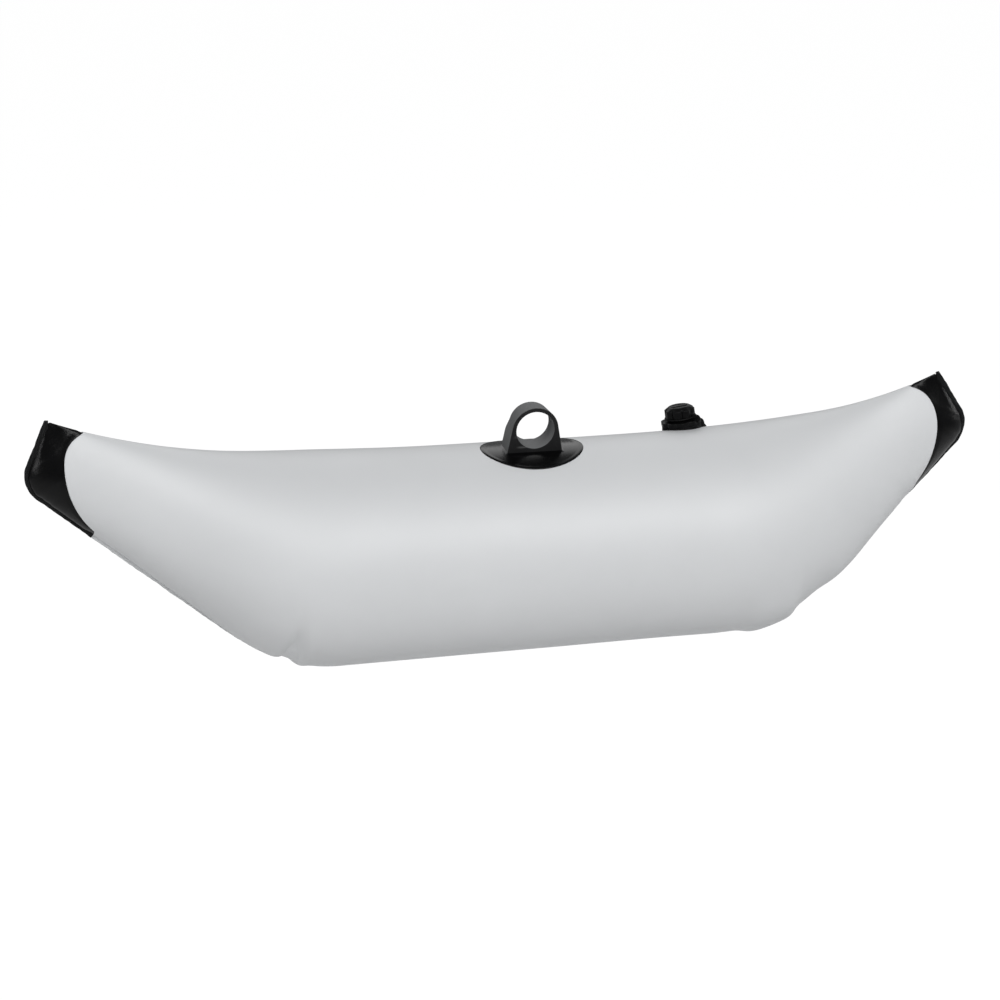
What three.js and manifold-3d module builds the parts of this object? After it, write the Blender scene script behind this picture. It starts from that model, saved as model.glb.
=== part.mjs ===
// Kayak outrigger: an inflated float with an arm socket on its ridge and a screw valve behind the ridge.
// Millimetres, +Z up, +X along the float towards its stern end, +Y across it towards the far side.
// The origin is the centre of the arm socket's bore, whose axis is Y.
import * as THREE from "three";
import { mergeVertices } from "three/addons/utils/BufferGeometryUtils.js";
import Module from "manifold-3d";

const wasm = await Module();
wasm.setup();

// Clearances, and the amount by which a cutter runs past what it cuts.
const gap = 0.3;
const overrun = 12;
const mergeDistance = 0.0001;

// Float, seen from the side. Reaches are measured along X from the bore, rises and drops from its axis,
// and setbacks along X from an end's nose.
const sheet = 1;
const ridgeDrop = 22.3;
const finWidth = 4.3;
const finRoot = 3;
const weldInset = 3;
const lapWidth = 18;
const bow = {
  toward: -1,
  noseReach: 479.5,
  tipSetback: 24.4,
  tipRise: 29.8,
  noseDrop: 29.6,
  noseRadius: 26,
  keelSetback: 231.1,
  keelDrop: 227.3,
  keelRadius: 148,
  ridgePower: 3.4,
  jointSetback: 37.1,
  jointDrop: 11,
  jointShoulder: 33.8,
  jointRise: 31.5,
  jointRadius: 93,
  jointFootSetback: 62.5,
};
const stern = {
  toward: 1,
  noseReach: 444.7,
  tipSetback: 37.9,
  tipRise: 30,
  noseDrop: 25.8,
  noseRadius: 26,
  keelSetback: 170.3,
  keelDrop: 221.6,
  keelRadius: 218,
  ridgePower: 3.55,
  jointSetback: 39.3,
  jointDrop: 20,
  jointShoulder: 34,
  jointRise: 39.5,
  jointRadius: 95,
  jointFootSetback: 56.7,
};

// How the section fills out from a flat tip to a full circle, and how sharply it closes at the seam.
const fillPower = 0.7;
const seamSharpness = 0.6;

// Power of the sine and cosine that make the joint's shoulder squarish.
const shoulderPower = 0.83;

// Counts of the float's mesh: stations in each end and in the middle, and points down each side.
const endSteps = 20;
const midSteps = 9;
const sideSteps = 16;
const arcSteps = 7;

// Arm socket on its flange. The bore takes the outrigger's arm tube.
const boreRadius = 18.5;
const socketRadius = 22.5;
const socketDepth = 24;
const socketFootHalfWidth = 27.2;
const socketFootDrop = 23.5;
const socketBevel = 0.7;
const flangeHalfLength = 50;
const flangeHalfGirth = 41;
const flangeThickness = 1.5;
const boreSteps = 14;

// Valve place: along the float, round the tube from the ridge, and how its axis leans off the skin.
const valveReach = 162.5;
const valveTurn = THREE.MathUtils.degToRad(24);
const valveFrontLean = THREE.MathUtils.degToRad(14);
const valveBowLean = THREE.MathUtils.degToRad(8);

// Valve pieces in the valve's own frame: z is zero at the skin and rises out of the float.
const valveBoreRadius = 15.5;
const valveWall = 3;
const valveNeckRise = 3.8;
const valveNeckDepth = 8;
const valveFlangeRadius = 31;
const valveFlangeThickness = 1.5;
const threadClearance = 0.5;
const gasketWidth = 1.7;
const baseGasketThickness = 1.2;
const collarRadius = 20.5;
const collarHeight = 4.4;
const collarLobes = 10;
const lobeDepth = 1.1;
const passageRadius = 8;
const throatRadius = 10.5;
const throatHeight = 9.6;
const webWidth = 2;
const webHeight = 2;
const webDepth = 6;
const hubRadius = 3.2;
const flapRadius = 11;
const flapThickness = 1;
const stemRadius = 1.3;
const knobRadius = 2.4;
const knobThickness = 1.2;
const flapTravel = 2.5;
const capRadius = 15;
const capLobes = 8;
const capTop = 2.6;
const capSkirtRadius = 12.4;
const capLipRadius = 13.2;
const capLipHeight = 0.6;
const capBevel = 0.9;
const capGasketThickness = 0.9;
const ringWidth = 2.9;
const ringThickness = 1.4;
const bodyRingThickness = 1;
const bodyRingWidth = 2.6;
const strapWidth = 5;
const strapThickness = 1.2;
const capStrapBulge = 6.5;
const capStrapRootInset = 1.6;
const capStrapTurn = THREE.MathUtils.degToRad(-50);
const bodyStrapBulge = 2.6;
const bodyStrapFootReach = 2.4;
const turnSteps = 40;
const lobeSteps = 6;
const strapSteps = 12;

// Valve heights that follow from the pieces stacked on each other.
const collarBottom = valveNeckRise + gap + baseGasketThickness + gap;
const collarTop = collarBottom + collarHeight;
const throatTop = collarTop + throatHeight;
const capBottom = collarTop + 3 * gap;
const capRingBottom = capBottom + capLipHeight + gap;
const capGripBottom = capRingBottom + ringThickness + gap;
const capCeiling = throatTop + gap + capGasketThickness + gap;
const shankRadius = valveBoreRadius - threadClearance;

// A closed three.js geometry as a solid that can be joined and cut.
function solid(geometry) {
  const bare = geometry.clone();
  bare.deleteAttribute("normal");
  bare.deleteAttribute("uv");
  const merged = mergeVertices(bare, mergeDistance);
  return new wasm.Manifold(
    new wasm.Mesh({
      numProp: 3,
      vertProperties: merged.attributes.position.array,
      triVerts: new Uint32Array(merged.index.array),
    }),
  );
}

// A named mesh from a solid, in its own finish.
function piece(name, shape, finish) {
  const made = shape.getMesh();
  const geometry = new THREE.BufferGeometry();
  geometry.setAttribute("position", new THREE.BufferAttribute(new Float32Array(made.vertProperties), 3));
  geometry.setIndex(new THREE.BufferAttribute(new Uint32Array(made.triVerts), 1));
  geometry.computeVertexNormals();
  const mesh = new THREE.Mesh(geometry, new THREE.MeshStandardMaterial(finish));
  mesh.name = name;
  return mesh;
}

// A side-view outline extruded across the float, centred on its middle plane.
function acrossFloat(outline, width, options = {}) {
  const bevel = options.bevel ?? 0;
  const geometry = new THREE.ExtrudeGeometry(outline, {
    depth: width - 2 * bevel,
    curveSegments: boreSteps,
    bevelEnabled: bevel > 0,
    bevelSize: bevel,
    bevelThickness: bevel,
    bevelOffset: -bevel,
    bevelSegments: 1,
  });
  return geometry.translate(0, 0, bevel - width / 2).rotateX(Math.PI / 2);
}

// A plan outline extruded upwards from one height to another.
function upwards(outline, bottom, top, bevel = 0) {
  const geometry = new THREE.ExtrudeGeometry(outline, {
    depth: top - bottom - 2 * bevel,
    curveSegments: boreSteps,
    bevelEnabled: bevel > 0,
    bevelSize: bevel,
    bevelThickness: bevel,
    bevelOffset: -bevel,
    bevelSegments: 2,
  });
  return geometry.translate(0, 0, bottom + bevel);
}

// A ring of the given radii between two heights, or a disc where the inner radius is zero.
function turned(inner, outer, bottom, top) {
  const profile = [
    new THREE.Vector2(inner, bottom),
    new THREE.Vector2(outer, bottom),
    new THREE.Vector2(outer, top),
    new THREE.Vector2(inner, top),
  ];
  if (inner > 0) profile.push(profile[0].clone());
  return new THREE.LatheGeometry(profile, turnSteps).rotateX(Math.PI / 2);
}

// Appends a line to a path up to a rounded corner, then the corner's arc.
function roundCorner(path, before, corner, after, radius) {
  const back = before.clone().sub(corner).normalize();
  const ahead = after.clone().sub(corner).normalize();
  const half = back.angleTo(ahead) / 2;
  const start = corner.clone().addScaledVector(back, radius / Math.tan(half));
  const stop = corner.clone().addScaledVector(ahead, radius / Math.tan(half));
  const middle = back.clone().add(ahead).normalize();
  const centre = corner.clone().addScaledVector(middle, radius / Math.sin(half));
  const from = start.clone().sub(centre).angle();
  const to = stop.clone().sub(centre).angle();
  const clockwise = back.cross(ahead) > 0;
  path.lineTo(start.x, start.y);
  path.absarc(centre.x, centre.y, radius, from, to, clockwise);
}

// Reach of a place of an end that lies a setback short of its nose.
function reachOf(end, setback) {
  return end.noseReach - setback;
}

// The seam line of one end seen from the side, from its tip round the nose to the end of the keel's bend.
function seamPath(end, otherEnd) {
  const tip = new THREE.Vector2(end.toward * reachOf(end, end.tipSetback), end.tipRise);
  const nose = new THREE.Vector2(end.toward * end.noseReach, -end.noseDrop);
  const keel = new THREE.Vector2(end.toward * reachOf(end, end.keelSetback), -end.keelDrop);
  const otherReach = reachOf(otherEnd, otherEnd.keelSetback);
  const otherKeel = new THREE.Vector2(otherEnd.toward * otherReach, -otherEnd.keelDrop);
  const path = new THREE.Path();
  path.moveTo(tip.x, tip.y);
  roundCorner(path, tip, nose, keel, end.noseRadius);
  roundCorner(path, nose, keel, otherKeel, end.keelRadius);
  return path;
}

// Height of the ridge: level at the bore and rising towards each tip as a power of the reach.
function ridgeHeight(x) {
  const end = x < 0 ? bow : stern;
  const share = Math.abs(x) / reachOf(end, end.tipSetback);
  return (end.tipRise + ridgeDrop) * share ** end.ridgePower - ridgeDrop;
}

// One end's sections: a point on the ridge, one on the seam, and how full the section is between them.
function endStations(end, otherEnd) {
  const seamPoints = seamPath(end, otherEnd).getSpacedPoints(endSteps);
  const inner = seamPoints[endSteps].x;
  const outer = end.toward * reachOf(end, end.tipSetback);
  return seamPoints.map((seam, i) => {
    const share = i / endSteps;
    const x = THREE.MathUtils.lerp(outer, inner, share);
    const fullness = Math.sin((share * Math.PI) / 2) ** fillPower;
    return { top: new THREE.Vector2(x, ridgeHeight(x)), seam, fullness };
  });
}

// Every section of the float from the bow's tip to the stern's.
function floatStations() {
  const fore = endStations(bow, stern);
  const aft = endStations(stern, bow).reverse();
  const first = fore[endSteps].seam;
  const last = aft[0].seam;
  const middle = [];
  for (let i = 1; i < midSteps; i += 1) {
    const seam = first.clone().lerp(last, i / midSteps);
    middle.push({ top: new THREE.Vector2(seam.x, ridgeHeight(seam.x)), seam, fullness: 1 });
  }
  return [...fore, ...middle, ...aft];
}
const stations = floatStations();

// The closed loop of one section, grown outwards, or inwards where grow is negative.
// Half-width is that of a circle times the fullness, closing to a sharper edge at the seam.
function sectionLoop(station, grow) {
  const across = station.seam.clone().sub(station.top);
  const chord = across.length();
  const down = across.normalize();
  const inset = grow < 0 ? weldInset * (1 - station.fullness) : 0;
  const top = station.top.clone().addScaledVector(down, -grow);
  const seam = station.seam.clone().addScaledVector(down, grow - inset);
  const halfWidth = (chord / 2) * station.fullness + grow;
  const loop = [];
  for (let j = 0; j < 2 * sideSteps; j += 1) {
    const angle = (Math.PI * j) / sideSteps;
    const share = (1 - Math.cos(angle)) / 2;
    const power = 1 + seamSharpness * (1 - station.fullness) * share;
    const spot = top.clone().lerp(seam, share);
    const width = halfWidth * Math.abs(Math.sin(angle)) ** power * Math.sign(sideSteps - j);
    loop.push(new THREE.Vector3(spot.x, width, spot.y));
  }
  return loop;
}

// The inflated body as a closed surface, leaving out the given number of sections at each tip.
function pillow(grow, leftOut) {
  const kept = stations.slice(leftOut, stations.length - leftOut);
  const points = kept.flatMap((station) => sectionLoop(station, grow));
  const size = 2 * sideSteps;
  const faces = [];
  for (let i = 0; i + 1 < kept.length; i += 1) {
    for (let j = 0; j < size; j += 1) {
      const a = i * size + j;
      const b = i * size + ((j + 1) % size);
      faces.push(a, a + size, b, a + size, b + size, b);
    }
  }
  const ends = [stations[leftOut - 1], stations[stations.length - leftOut]];
  const poles = ends.map((station) => station.top.clone().lerp(station.seam, 0.5));
  poles.forEach((pole) => points.push(new THREE.Vector3(pole.x, 0, pole.y)));
  const lastRing = (kept.length - 1) * size;
  const bowPole = points.length - 2;
  for (let j = 0; j < size; j += 1) {
    const next = (j + 1) % size;
    faces.push(bowPole, j, next);
    faces.push(bowPole + 1, lastRing + next, lastRing + j);
  }
  const geometry = new THREE.BufferGeometry().setFromPoints(points);
  geometry.setIndex(faces);
  return geometry;
}

// A line of points moved sideways by a distance, away from the body where it is positive.
function offsetLine(points, distance) {
  return points.map((point, i) => {
    const before = points[Math.max(i - 1, 0)];
    const after = points[Math.min(i + 1, points.length - 1)];
    const along = after.clone().sub(before).normalize();
    return point.clone().add(new THREE.Vector2(along.y, -along.x).multiplyScalar(distance));
  });
}

// The flat weld fin that runs along the seam from tip to tip.
function weldFin() {
  const fore = seamPath(bow, stern).getPoints(arcSteps);
  const aft = seamPath(stern, bow).getPoints(arcSteps).reverse();
  const seam = [...fore, ...aft];
  const outline = [...offsetLine(seam, finWidth), ...offsetLine(seam, -finRoot).reverse()];
  return acrossFloat(new THREE.Shape(outline), 2 * sheet);
}

// The side-view region of an end piece. Its edge bulges towards the end: a squarish shoulder above its
// furthest point, an arc below it down to the foot, then straight down.
function endRegion(end, shift) {
  const furthest = reachOf(end, end.jointSetback);
  const foot = reachOf(end, end.jointFootSetback) + shift;
  const shoulder = end.jointShoulder + shift;
  const rise = end.jointRise + shift;
  const radius = end.jointRadius + shift;
  const highest = THREE.MathUtils.degToRad(80);
  const lowest = Math.acos(1 - (furthest + shift - foot) / radius);
  const steps = 2 * arcSteps;
  const outline = [];
  for (let i = steps; i > 0; i -= 1) {
    const angle = (highest * i) / steps;
    const reach = furthest - end.jointShoulder + shoulder * Math.cos(angle) ** shoulderPower;
    outline.push(new THREE.Vector2(end.toward * reach, rise * Math.sin(angle) ** shoulderPower - end.jointDrop));
  }
  for (let i = 0; i <= steps; i += 1) {
    const angle = (lowest * i) / steps;
    const reach = furthest + shift - radius * (1 - Math.cos(angle));
    outline.push(new THREE.Vector2(end.toward * reach, -radius * Math.sin(angle) - end.jointDrop));
  }
  const high = end.tipRise + overrun;
  const low = -end.keelDrop;
  const far = end.toward * (end.noseReach + overrun);
  outline.push(new THREE.Vector2(end.toward * foot, low));
  outline.push(new THREE.Vector2(far, low));
  outline.push(new THREE.Vector2(far, high));
  outline.push(new THREE.Vector2(outline[0].x, high));
  return solid(acrossFloat(new THREE.Shape(outline), end.keelDrop));
}

// The body and its fin as one solid, and the air chamber inside a wall of the given thickness.
const fullBody = solid(pillow(0, 1)).add(solid(weldFin()));
function chamber(wall) {
  return solid(pillow(-wall, 3));
}

// One black end: its own wall beyond the joint, and a lap that runs on inside the grey skin.
function endPiece(end) {
  const lapFace = sheet + gap;
  const innerFace = lapFace + sheet;
  const cap = fullBody.subtract(chamber(innerFace)).intersect(endRegion(end, gap));
  const lap = chamber(lapFace).subtract(chamber(innerFace)).intersect(endRegion(end, -lapWidth));
  return cap.add(lap);
}

// The grey skin between the two ends, with the valve's hole.
function greySkin(valveHole) {
  return fullBody
    .subtract(chamber(sheet))
    .subtract(endRegion(bow, 0))
    .subtract(endRegion(stern, 0))
    .subtract(valveHole);
}

// The socket's flange: an oval patch that follows the ridge.
function mountFlange() {
  const oval = new THREE.Shape();
  oval.absellipse(0, 0, flangeHalfLength, flangeHalfGirth, 0, 2 * Math.PI);
  const patch = solid(upwards(oval, -ridgeDrop - flangeHalfGirth, 0));
  return patch.intersect(solid(pillow(gap + flangeThickness, 2))).subtract(solid(pillow(gap, 2)));
}

// The arch that holds the arm: a round top, straight legs that spread to the flange, and the bore.
function armSocket() {
  const footDistance = Math.hypot(socketFootHalfWidth, socketFootDrop);
  const footAngle = -Math.atan2(socketFootDrop, socketFootHalfWidth);
  const legAngle = footAngle + Math.acos(socketRadius / footDistance);
  const arch = new THREE.Shape();
  arch.moveTo(socketFootHalfWidth, -socketFootDrop);
  arch.lineTo(socketRadius * Math.cos(legAngle), socketRadius * Math.sin(legAngle));
  arch.absarc(0, 0, socketRadius, legAngle, Math.PI - legAngle, false);
  arch.lineTo(-socketFootHalfWidth, -socketFootDrop);
  const bore = new THREE.Path();
  bore.absarc(0, 0, boreRadius, 0, 2 * Math.PI, true);
  arch.holes.push(bore);
  const seat = solid(pillow(gap + flangeThickness + gap, 2));
  return solid(acrossFloat(arch, socketDepth, { bevel: socketBevel })).subtract(seat);
}

// The valve's frame: on the skin at its place, with its axis off the skin's normal by two small leans.
function valveFrame() {
  const top = ridgeHeight(valveReach);
  const [first, last] = [stations[endSteps].seam, stations[stations.length - 1 - endSteps].seam];
  const share = (valveReach - first.x) / (last.x - first.x);
  const bottom = THREE.MathUtils.lerp(first.y, last.y, share);
  const radius = (top - bottom) / 2;
  const group = new THREE.Group();
  group.position.set(valveReach, radius * Math.sin(valveTurn), bottom + radius * (1 + Math.cos(valveTurn)));
  group.rotation.set(valveFrontLean - valveTurn, -valveBowLean, 0);
  group.updateMatrixWorld(true);
  return group;
}
const valve = valveFrame();
const intoValve = valve.matrixWorld.clone().invert();

// The body grown by an amount, seen from the valve's frame.
function skinFromValve(grow) {
  return solid(pillow(grow, 3).applyMatrix4(intoValve));
}

// A round outline whose edge dips between lobes.
function lobedOutline(radius, lobes) {
  const steps = lobes * lobeSteps;
  const points = [];
  for (let i = 0; i < steps; i += 1) {
    const angle = (2 * Math.PI * i) / steps;
    const dip = (lobeDepth * (1 - Math.cos(lobes * angle))) / 2;
    points.push(new THREE.Vector2(Math.cos(angle), Math.sin(angle)).multiplyScalar(radius - dip));
  }
  return new THREE.Shape(points);
}

// A strap along a curve in a plane through the valve's axis, turned from the XZ plane.
function strap(curve, turn) {
  const line = curve.getPoints(strapSteps);
  const outline = [...offsetLine(line, strapThickness / 2), ...offsetLine(line, -strapThickness / 2).reverse()];
  return solid(acrossFloat(new THREE.Shape(outline), strapWidth).rotateZ(turn));
}

// The welded base: a flange under the skin and a threaded neck through it.
function valveBase() {
  const outerFace = sheet + gap;
  const shell = skinFromValve(-outerFace).subtract(skinFromValve(-outerFace - valveFlangeThickness));
  const neckRadius = valveBoreRadius + valveWall;
  const reach = valveFlangeRadius / 2;
  const disc = solid(turned(valveBoreRadius, valveFlangeRadius, -reach, reach));
  const neck = solid(turned(valveBoreRadius, neckRadius, -valveNeckDepth, valveNeckRise));
  return shell.intersect(disc).add(neck);
}

// The plug that screws into the base: lobed collar, shank, cap thread, air passage and flap guide.
function valveBody() {
  const collar = solid(upwards(lobedOutline(collarRadius, collarLobes), collarBottom, collarTop, capBevel));
  const shank = solid(turned(0, shankRadius, -valveNeckDepth, collarBottom + capBevel));
  const throat = solid(turned(0, throatRadius, collarTop - capBevel, throatTop));
  const webTop = webHeight - webDepth;
  const passage = solid(turned(0, passageRadius, -valveNeckDepth - overrun, throatTop + overrun));
  const hub = solid(turned(0, hubRadius, -webDepth, webTop));
  const arm = new THREE.BoxGeometry(2 * passageRadius + valveWall, webWidth, webHeight);
  arm.translate(0, 0, (webTop - webDepth) / 2);
  const otherArm = arm.clone().rotateZ(Math.PI / 2);
  const web = hub.add(solid(arm)).add(solid(otherArm));
  const guide = solid(turned(0, stemRadius + gap, -webDepth - overrun, webTop + overrun));
  return collar.add(shank).add(throat).subtract(passage).add(web).subtract(guide);
}

// The flap under the shank, on a stem that passes the web and ends in a knob.
function valveFlap() {
  const faceTop = -valveNeckDepth - gap;
  const knobBottom = webHeight - webDepth + flapTravel + gap;
  const disc = solid(turned(0, flapRadius, faceTop - flapThickness, faceTop));
  const stem = solid(turned(0, stemRadius, faceTop - flapThickness / 2, knobBottom + knobThickness / 2));
  const knob = solid(turned(0, knobRadius, knobBottom, knobBottom + knobThickness));
  return disc.add(stem).add(knob);
}

// The screw cap: lobed grip, skirt and lip that keep its ring, and the bore over the throat.
function valveCap() {
  const top = capCeiling + capTop;
  const grip = solid(upwards(lobedOutline(capRadius, capLobes), capGripBottom, top, capBevel));
  const skirt = solid(turned(0, capSkirtRadius, capBottom, capGripBottom + capBevel));
  const lip = solid(turned(0, capLipRadius, capBottom, capBottom + capLipHeight));
  const bore = solid(turned(0, throatRadius + gap, capBottom - overrun, capCeiling));
  return grip.add(skirt).add(lip).subtract(bore);
}

// The cap's strap: from beside the cap's ring, out and down to the collar's top.
function capTether() {
  const ringEdge = capSkirtRadius + gap + ringWidth + gap;
  const ringMiddle = capRingBottom + ringThickness / 2;
  const rootRadius = collarRadius - lobeDepth - capStrapRootInset;
  const loop = new THREE.CubicBezierCurve(
    new THREE.Vector2(ringEdge - strapThickness, ringMiddle),
    new THREE.Vector2(ringEdge + capStrapBulge, ringMiddle + strapThickness),
    new THREE.Vector2(rootRadius + capStrapBulge, collarTop + strapThickness),
    new THREE.Vector2(rootRadius - strapThickness, collarTop - strapThickness),
  );
  const inside = solid(turned(0, ringEdge, collarTop - overrun, capCeiling));
  const below = solid(turned(0, collarRadius + overrun, collarTop + gap - overrun, collarTop + gap));
  return strap(loop, capStrapTurn).subtract(inside).subtract(below);
}

// The plug's strap: from beside the plug's own ring, out and down to a foot on the skin.
function bodyTether(ringOuter) {
  const ringEdge = ringOuter + gap;
  const ringMiddle = valveNeckRise + gap + bodyRingThickness / 2;
  const loop = new THREE.CubicBezierCurve(
    new THREE.Vector2(ringEdge - strapThickness, ringMiddle),
    new THREE.Vector2(ringEdge + bodyStrapBulge, ringMiddle + strapThickness),
    new THREE.Vector2(ringEdge + bodyStrapBulge, 0),
    new THREE.Vector2(ringEdge + bodyStrapFootReach, -ringMiddle),
  );
  const inside = solid(turned(0, ringEdge, -ringMiddle, collarTop));
  return strap(loop, 0).subtract(inside).subtract(skinFromValve(gap));
}

// Finishes.
const greyVinyl = { color: 0xd4d8dc, roughness: 0.45, metalness: 0 };
const blackVinyl = { color: 0x141516, roughness: 0.35, metalness: 0 };
const glossRubber = { color: 0x121314, roughness: 0.3, metalness: 0 };
const matteRubber = { color: 0x3c3e40, roughness: 0.7, metalness: 0 };
const blackPlastic = { color: 0x1a1b1d, roughness: 0.5, metalness: 0 };
const softRubber = { color: 0x202123, roughness: 0.8, metalness: 0 };

// The assembly.
const outrigger = new THREE.Group();
const holeReach = valveFlangeRadius;
const neckHole = solid(turned(0, valveBoreRadius + valveWall + gap, -holeReach, holeReach).applyMatrix4(valve.matrixWorld));
outrigger.add(piece("float_skin", greySkin(neckHole), greyVinyl));
outrigger.add(piece("bow_end", endPiece(bow), blackVinyl));
outrigger.add(piece("stern_end", endPiece(stern), blackVinyl));
outrigger.add(piece("mount_flange", mountFlange(), glossRubber));
outrigger.add(piece("arm_socket", armSocket(), matteRubber));

const gasketInner = shankRadius + gap;
const gasketOuter = gasketInner + gasketWidth;
const gasketBottom = valveNeckRise + gap;
const bodyRingInner = gasketOuter + gap;
const bodyRingOuter = bodyRingInner + bodyRingWidth;
const capRingInner = capSkirtRadius + gap;
valve.add(piece("valve_base", valveBase(), blackPlastic));
valve.add(
  piece("base_gasket", solid(turned(gasketInner, gasketOuter, gasketBottom, gasketBottom + baseGasketThickness)), softRubber),
);
valve.add(piece("valve_body", valveBody(), blackPlastic));
valve.add(piece("valve_flap", valveFlap(), softRubber));
valve.add(
  piece(
    "cap_gasket",
    solid(turned(passageRadius, throatRadius, throatTop + gap, throatTop + gap + capGasketThickness)),
    softRubber,
  ),
);
valve.add(piece("valve_cap", valveCap(), blackPlastic));
valve.add(
  piece(
    "cap_tether_ring",
    solid(turned(capRingInner, capRingInner + ringWidth, capRingBottom, capRingBottom + ringThickness)),
    softRubber,
  ),
);
valve.add(piece("cap_tether", capTether(), softRubber));
valve.add(
  piece(
    "body_tether_ring",
    solid(turned(bodyRingInner, bodyRingOuter, gasketBottom, gasketBottom + bodyRingThickness)),
    softRubber,
  ),
);
valve.add(piece("body_tether", bodyTether(bodyRingOuter), softRubber));
outrigger.add(valve);

export default outrigger;
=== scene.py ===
"""Looks of an inflatable kayak outrigger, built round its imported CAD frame.

The float's surface is a function of two parameters, a place along it and an angle round it.
The valve's pieces are turned profiles with lobes. Lengths are metres unless a name says otherwise.
"""

import logging
import math
from dataclasses import dataclass, field
from enum import Enum
from typing import Optional

import bpy
import numpy as np
from bpy.types import ID, Material, Node, NodeOutputs, NodeSocket, NodeTree, Object
from mathutils import Matrix, Vector

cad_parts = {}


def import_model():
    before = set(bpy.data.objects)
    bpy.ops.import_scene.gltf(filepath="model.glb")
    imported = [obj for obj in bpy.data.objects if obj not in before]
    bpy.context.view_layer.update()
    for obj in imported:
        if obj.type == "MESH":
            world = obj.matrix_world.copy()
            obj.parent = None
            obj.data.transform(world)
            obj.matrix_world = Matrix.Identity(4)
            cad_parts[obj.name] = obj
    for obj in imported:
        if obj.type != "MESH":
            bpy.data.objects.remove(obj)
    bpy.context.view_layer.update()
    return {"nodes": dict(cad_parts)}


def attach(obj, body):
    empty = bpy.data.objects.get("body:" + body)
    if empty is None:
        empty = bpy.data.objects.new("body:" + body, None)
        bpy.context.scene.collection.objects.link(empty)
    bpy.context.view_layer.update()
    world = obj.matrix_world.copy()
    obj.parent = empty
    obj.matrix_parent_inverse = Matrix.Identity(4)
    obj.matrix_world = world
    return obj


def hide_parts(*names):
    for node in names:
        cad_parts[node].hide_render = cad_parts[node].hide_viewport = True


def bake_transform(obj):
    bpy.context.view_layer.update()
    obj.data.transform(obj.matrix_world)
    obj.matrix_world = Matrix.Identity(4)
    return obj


Array = np.ndarray
Colour = tuple[float, float, float]
MM = 0.001
LOG = logging.getLogger("outrigger")
UP = np.array([0.0, 0.0, 1.0])
TINY = 1e-12
LEAST_GAP = 1e-6
EDGE_GAIN = 5.0
JET: Colour = (0.002, 0.002, 0.0022)


class Slot(Enum):
    """Material slots of the record that a piece takes its finish from."""

    GREY_VINYL = "grey_vinyl"
    BLACK_VINYL = "black_vinyl"
    GLOSS_RUBBER = "gloss_rubber"
    SOCKET_RUBBER = "socket_rubber"
    VALVE_PLASTIC = "valve_plastic"
    SOFT_RUBBER = "soft_rubber"
    TETHER_RUBBER = "tether_rubber"


class Rider(Enum):
    """Bodies of the frame that a piece rides on."""

    FLOAT = "float"
    PLUG_RING = "plug_rise_ring"
    PLUG = "plug"
    FLAP = "flap"
    CAP_RING = "cap_rise_ring"
    CAP = "cap"


# Grids of points made into meshes


def unit(vectors: Array) -> Array:
    """Vectors scaled to length 1 along their last axis."""
    return vectors / np.maximum(np.linalg.norm(vectors, axis=-1, keepdims=True), TINY)


def turns(count: int) -> Array:
    """Angles of equal steps round one turn, from 0: 2 pi k / count."""
    return 2 * math.pi * np.arange(count) / count


def between(first: Array, last: Array, share: Array) -> Array:
    """Values at shares of the way from a first to a last: a (1 - s) + b s."""
    return first * (1 - share) + last * share


def smooth(share: Array) -> Array:
    """A share from 0 to 1, eased at both ends: s^2 (3 - 2 s)."""
    return share * share * (3 - 2 * share)


def step(value: Array, middle: float, width: float) -> Array:
    """A smooth step from 0 to 1: (1 + tanh((value - middle) / width)) / 2."""
    return (1 + np.tanh((value - middle) / width)) / 2


def bell(value: Array, middle: Array, width: Array) -> Array:
    """A smooth bump of height 1: exp(-((value - middle) / width)^2)."""
    return np.exp(-(((value - middle) / width) ** 2))


def signed(angle: Array) -> Array:
    """Angles moved to the turn between minus pi and pi."""
    return (angle + math.pi) % (2 * math.pi) - math.pi


def rounded(corners: Array, radius: float, steps: int, closed: bool) -> Array:
    """A polyline with each corner replaced by a short curve.

    The curve is the quadratic (1-t)^2 A + 2t(1-t) P + t^2 B, where A and B lie on the two edges
    a radius from the corner P, or half an edge if that is shorter.

    Args:
        corners: points of the polyline, one row each.
        radius: reach of each curve along its edges.
        steps: points per corner.
        closed: whether the last corner joins the first; if not, both ends stay sharp.

    Returns:
        The points of the softened line, one row each.
    """
    before = np.roll(corners, 1, axis=0) - corners
    after = np.roll(corners, -1, axis=0) - corners
    reach_before = np.minimum(radius, np.linalg.norm(before, axis=1) / 2)[:, None]
    reach_after = np.minimum(radius, np.linalg.norm(after, axis=1) / 2)[:, None]
    start = corners + unit(before) * reach_before
    stop = corners + unit(after) * reach_after
    if not closed:
        start[[0, -1]], stop[[0, -1]] = corners[[0, -1]], corners[[0, -1]]
    t = np.linspace(0, 1, steps)[None, :, None]
    first, second, third = (1 - t) ** 2, 2 * t * (1 - t), t**2
    curve = first * start[:, None] + second * corners[:, None] + third * stop[:, None]
    line = curve.reshape(-1, corners.shape[1])
    if not closed:
        line = line[steps - 1 : len(line) - steps + 1]
    return line


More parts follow.
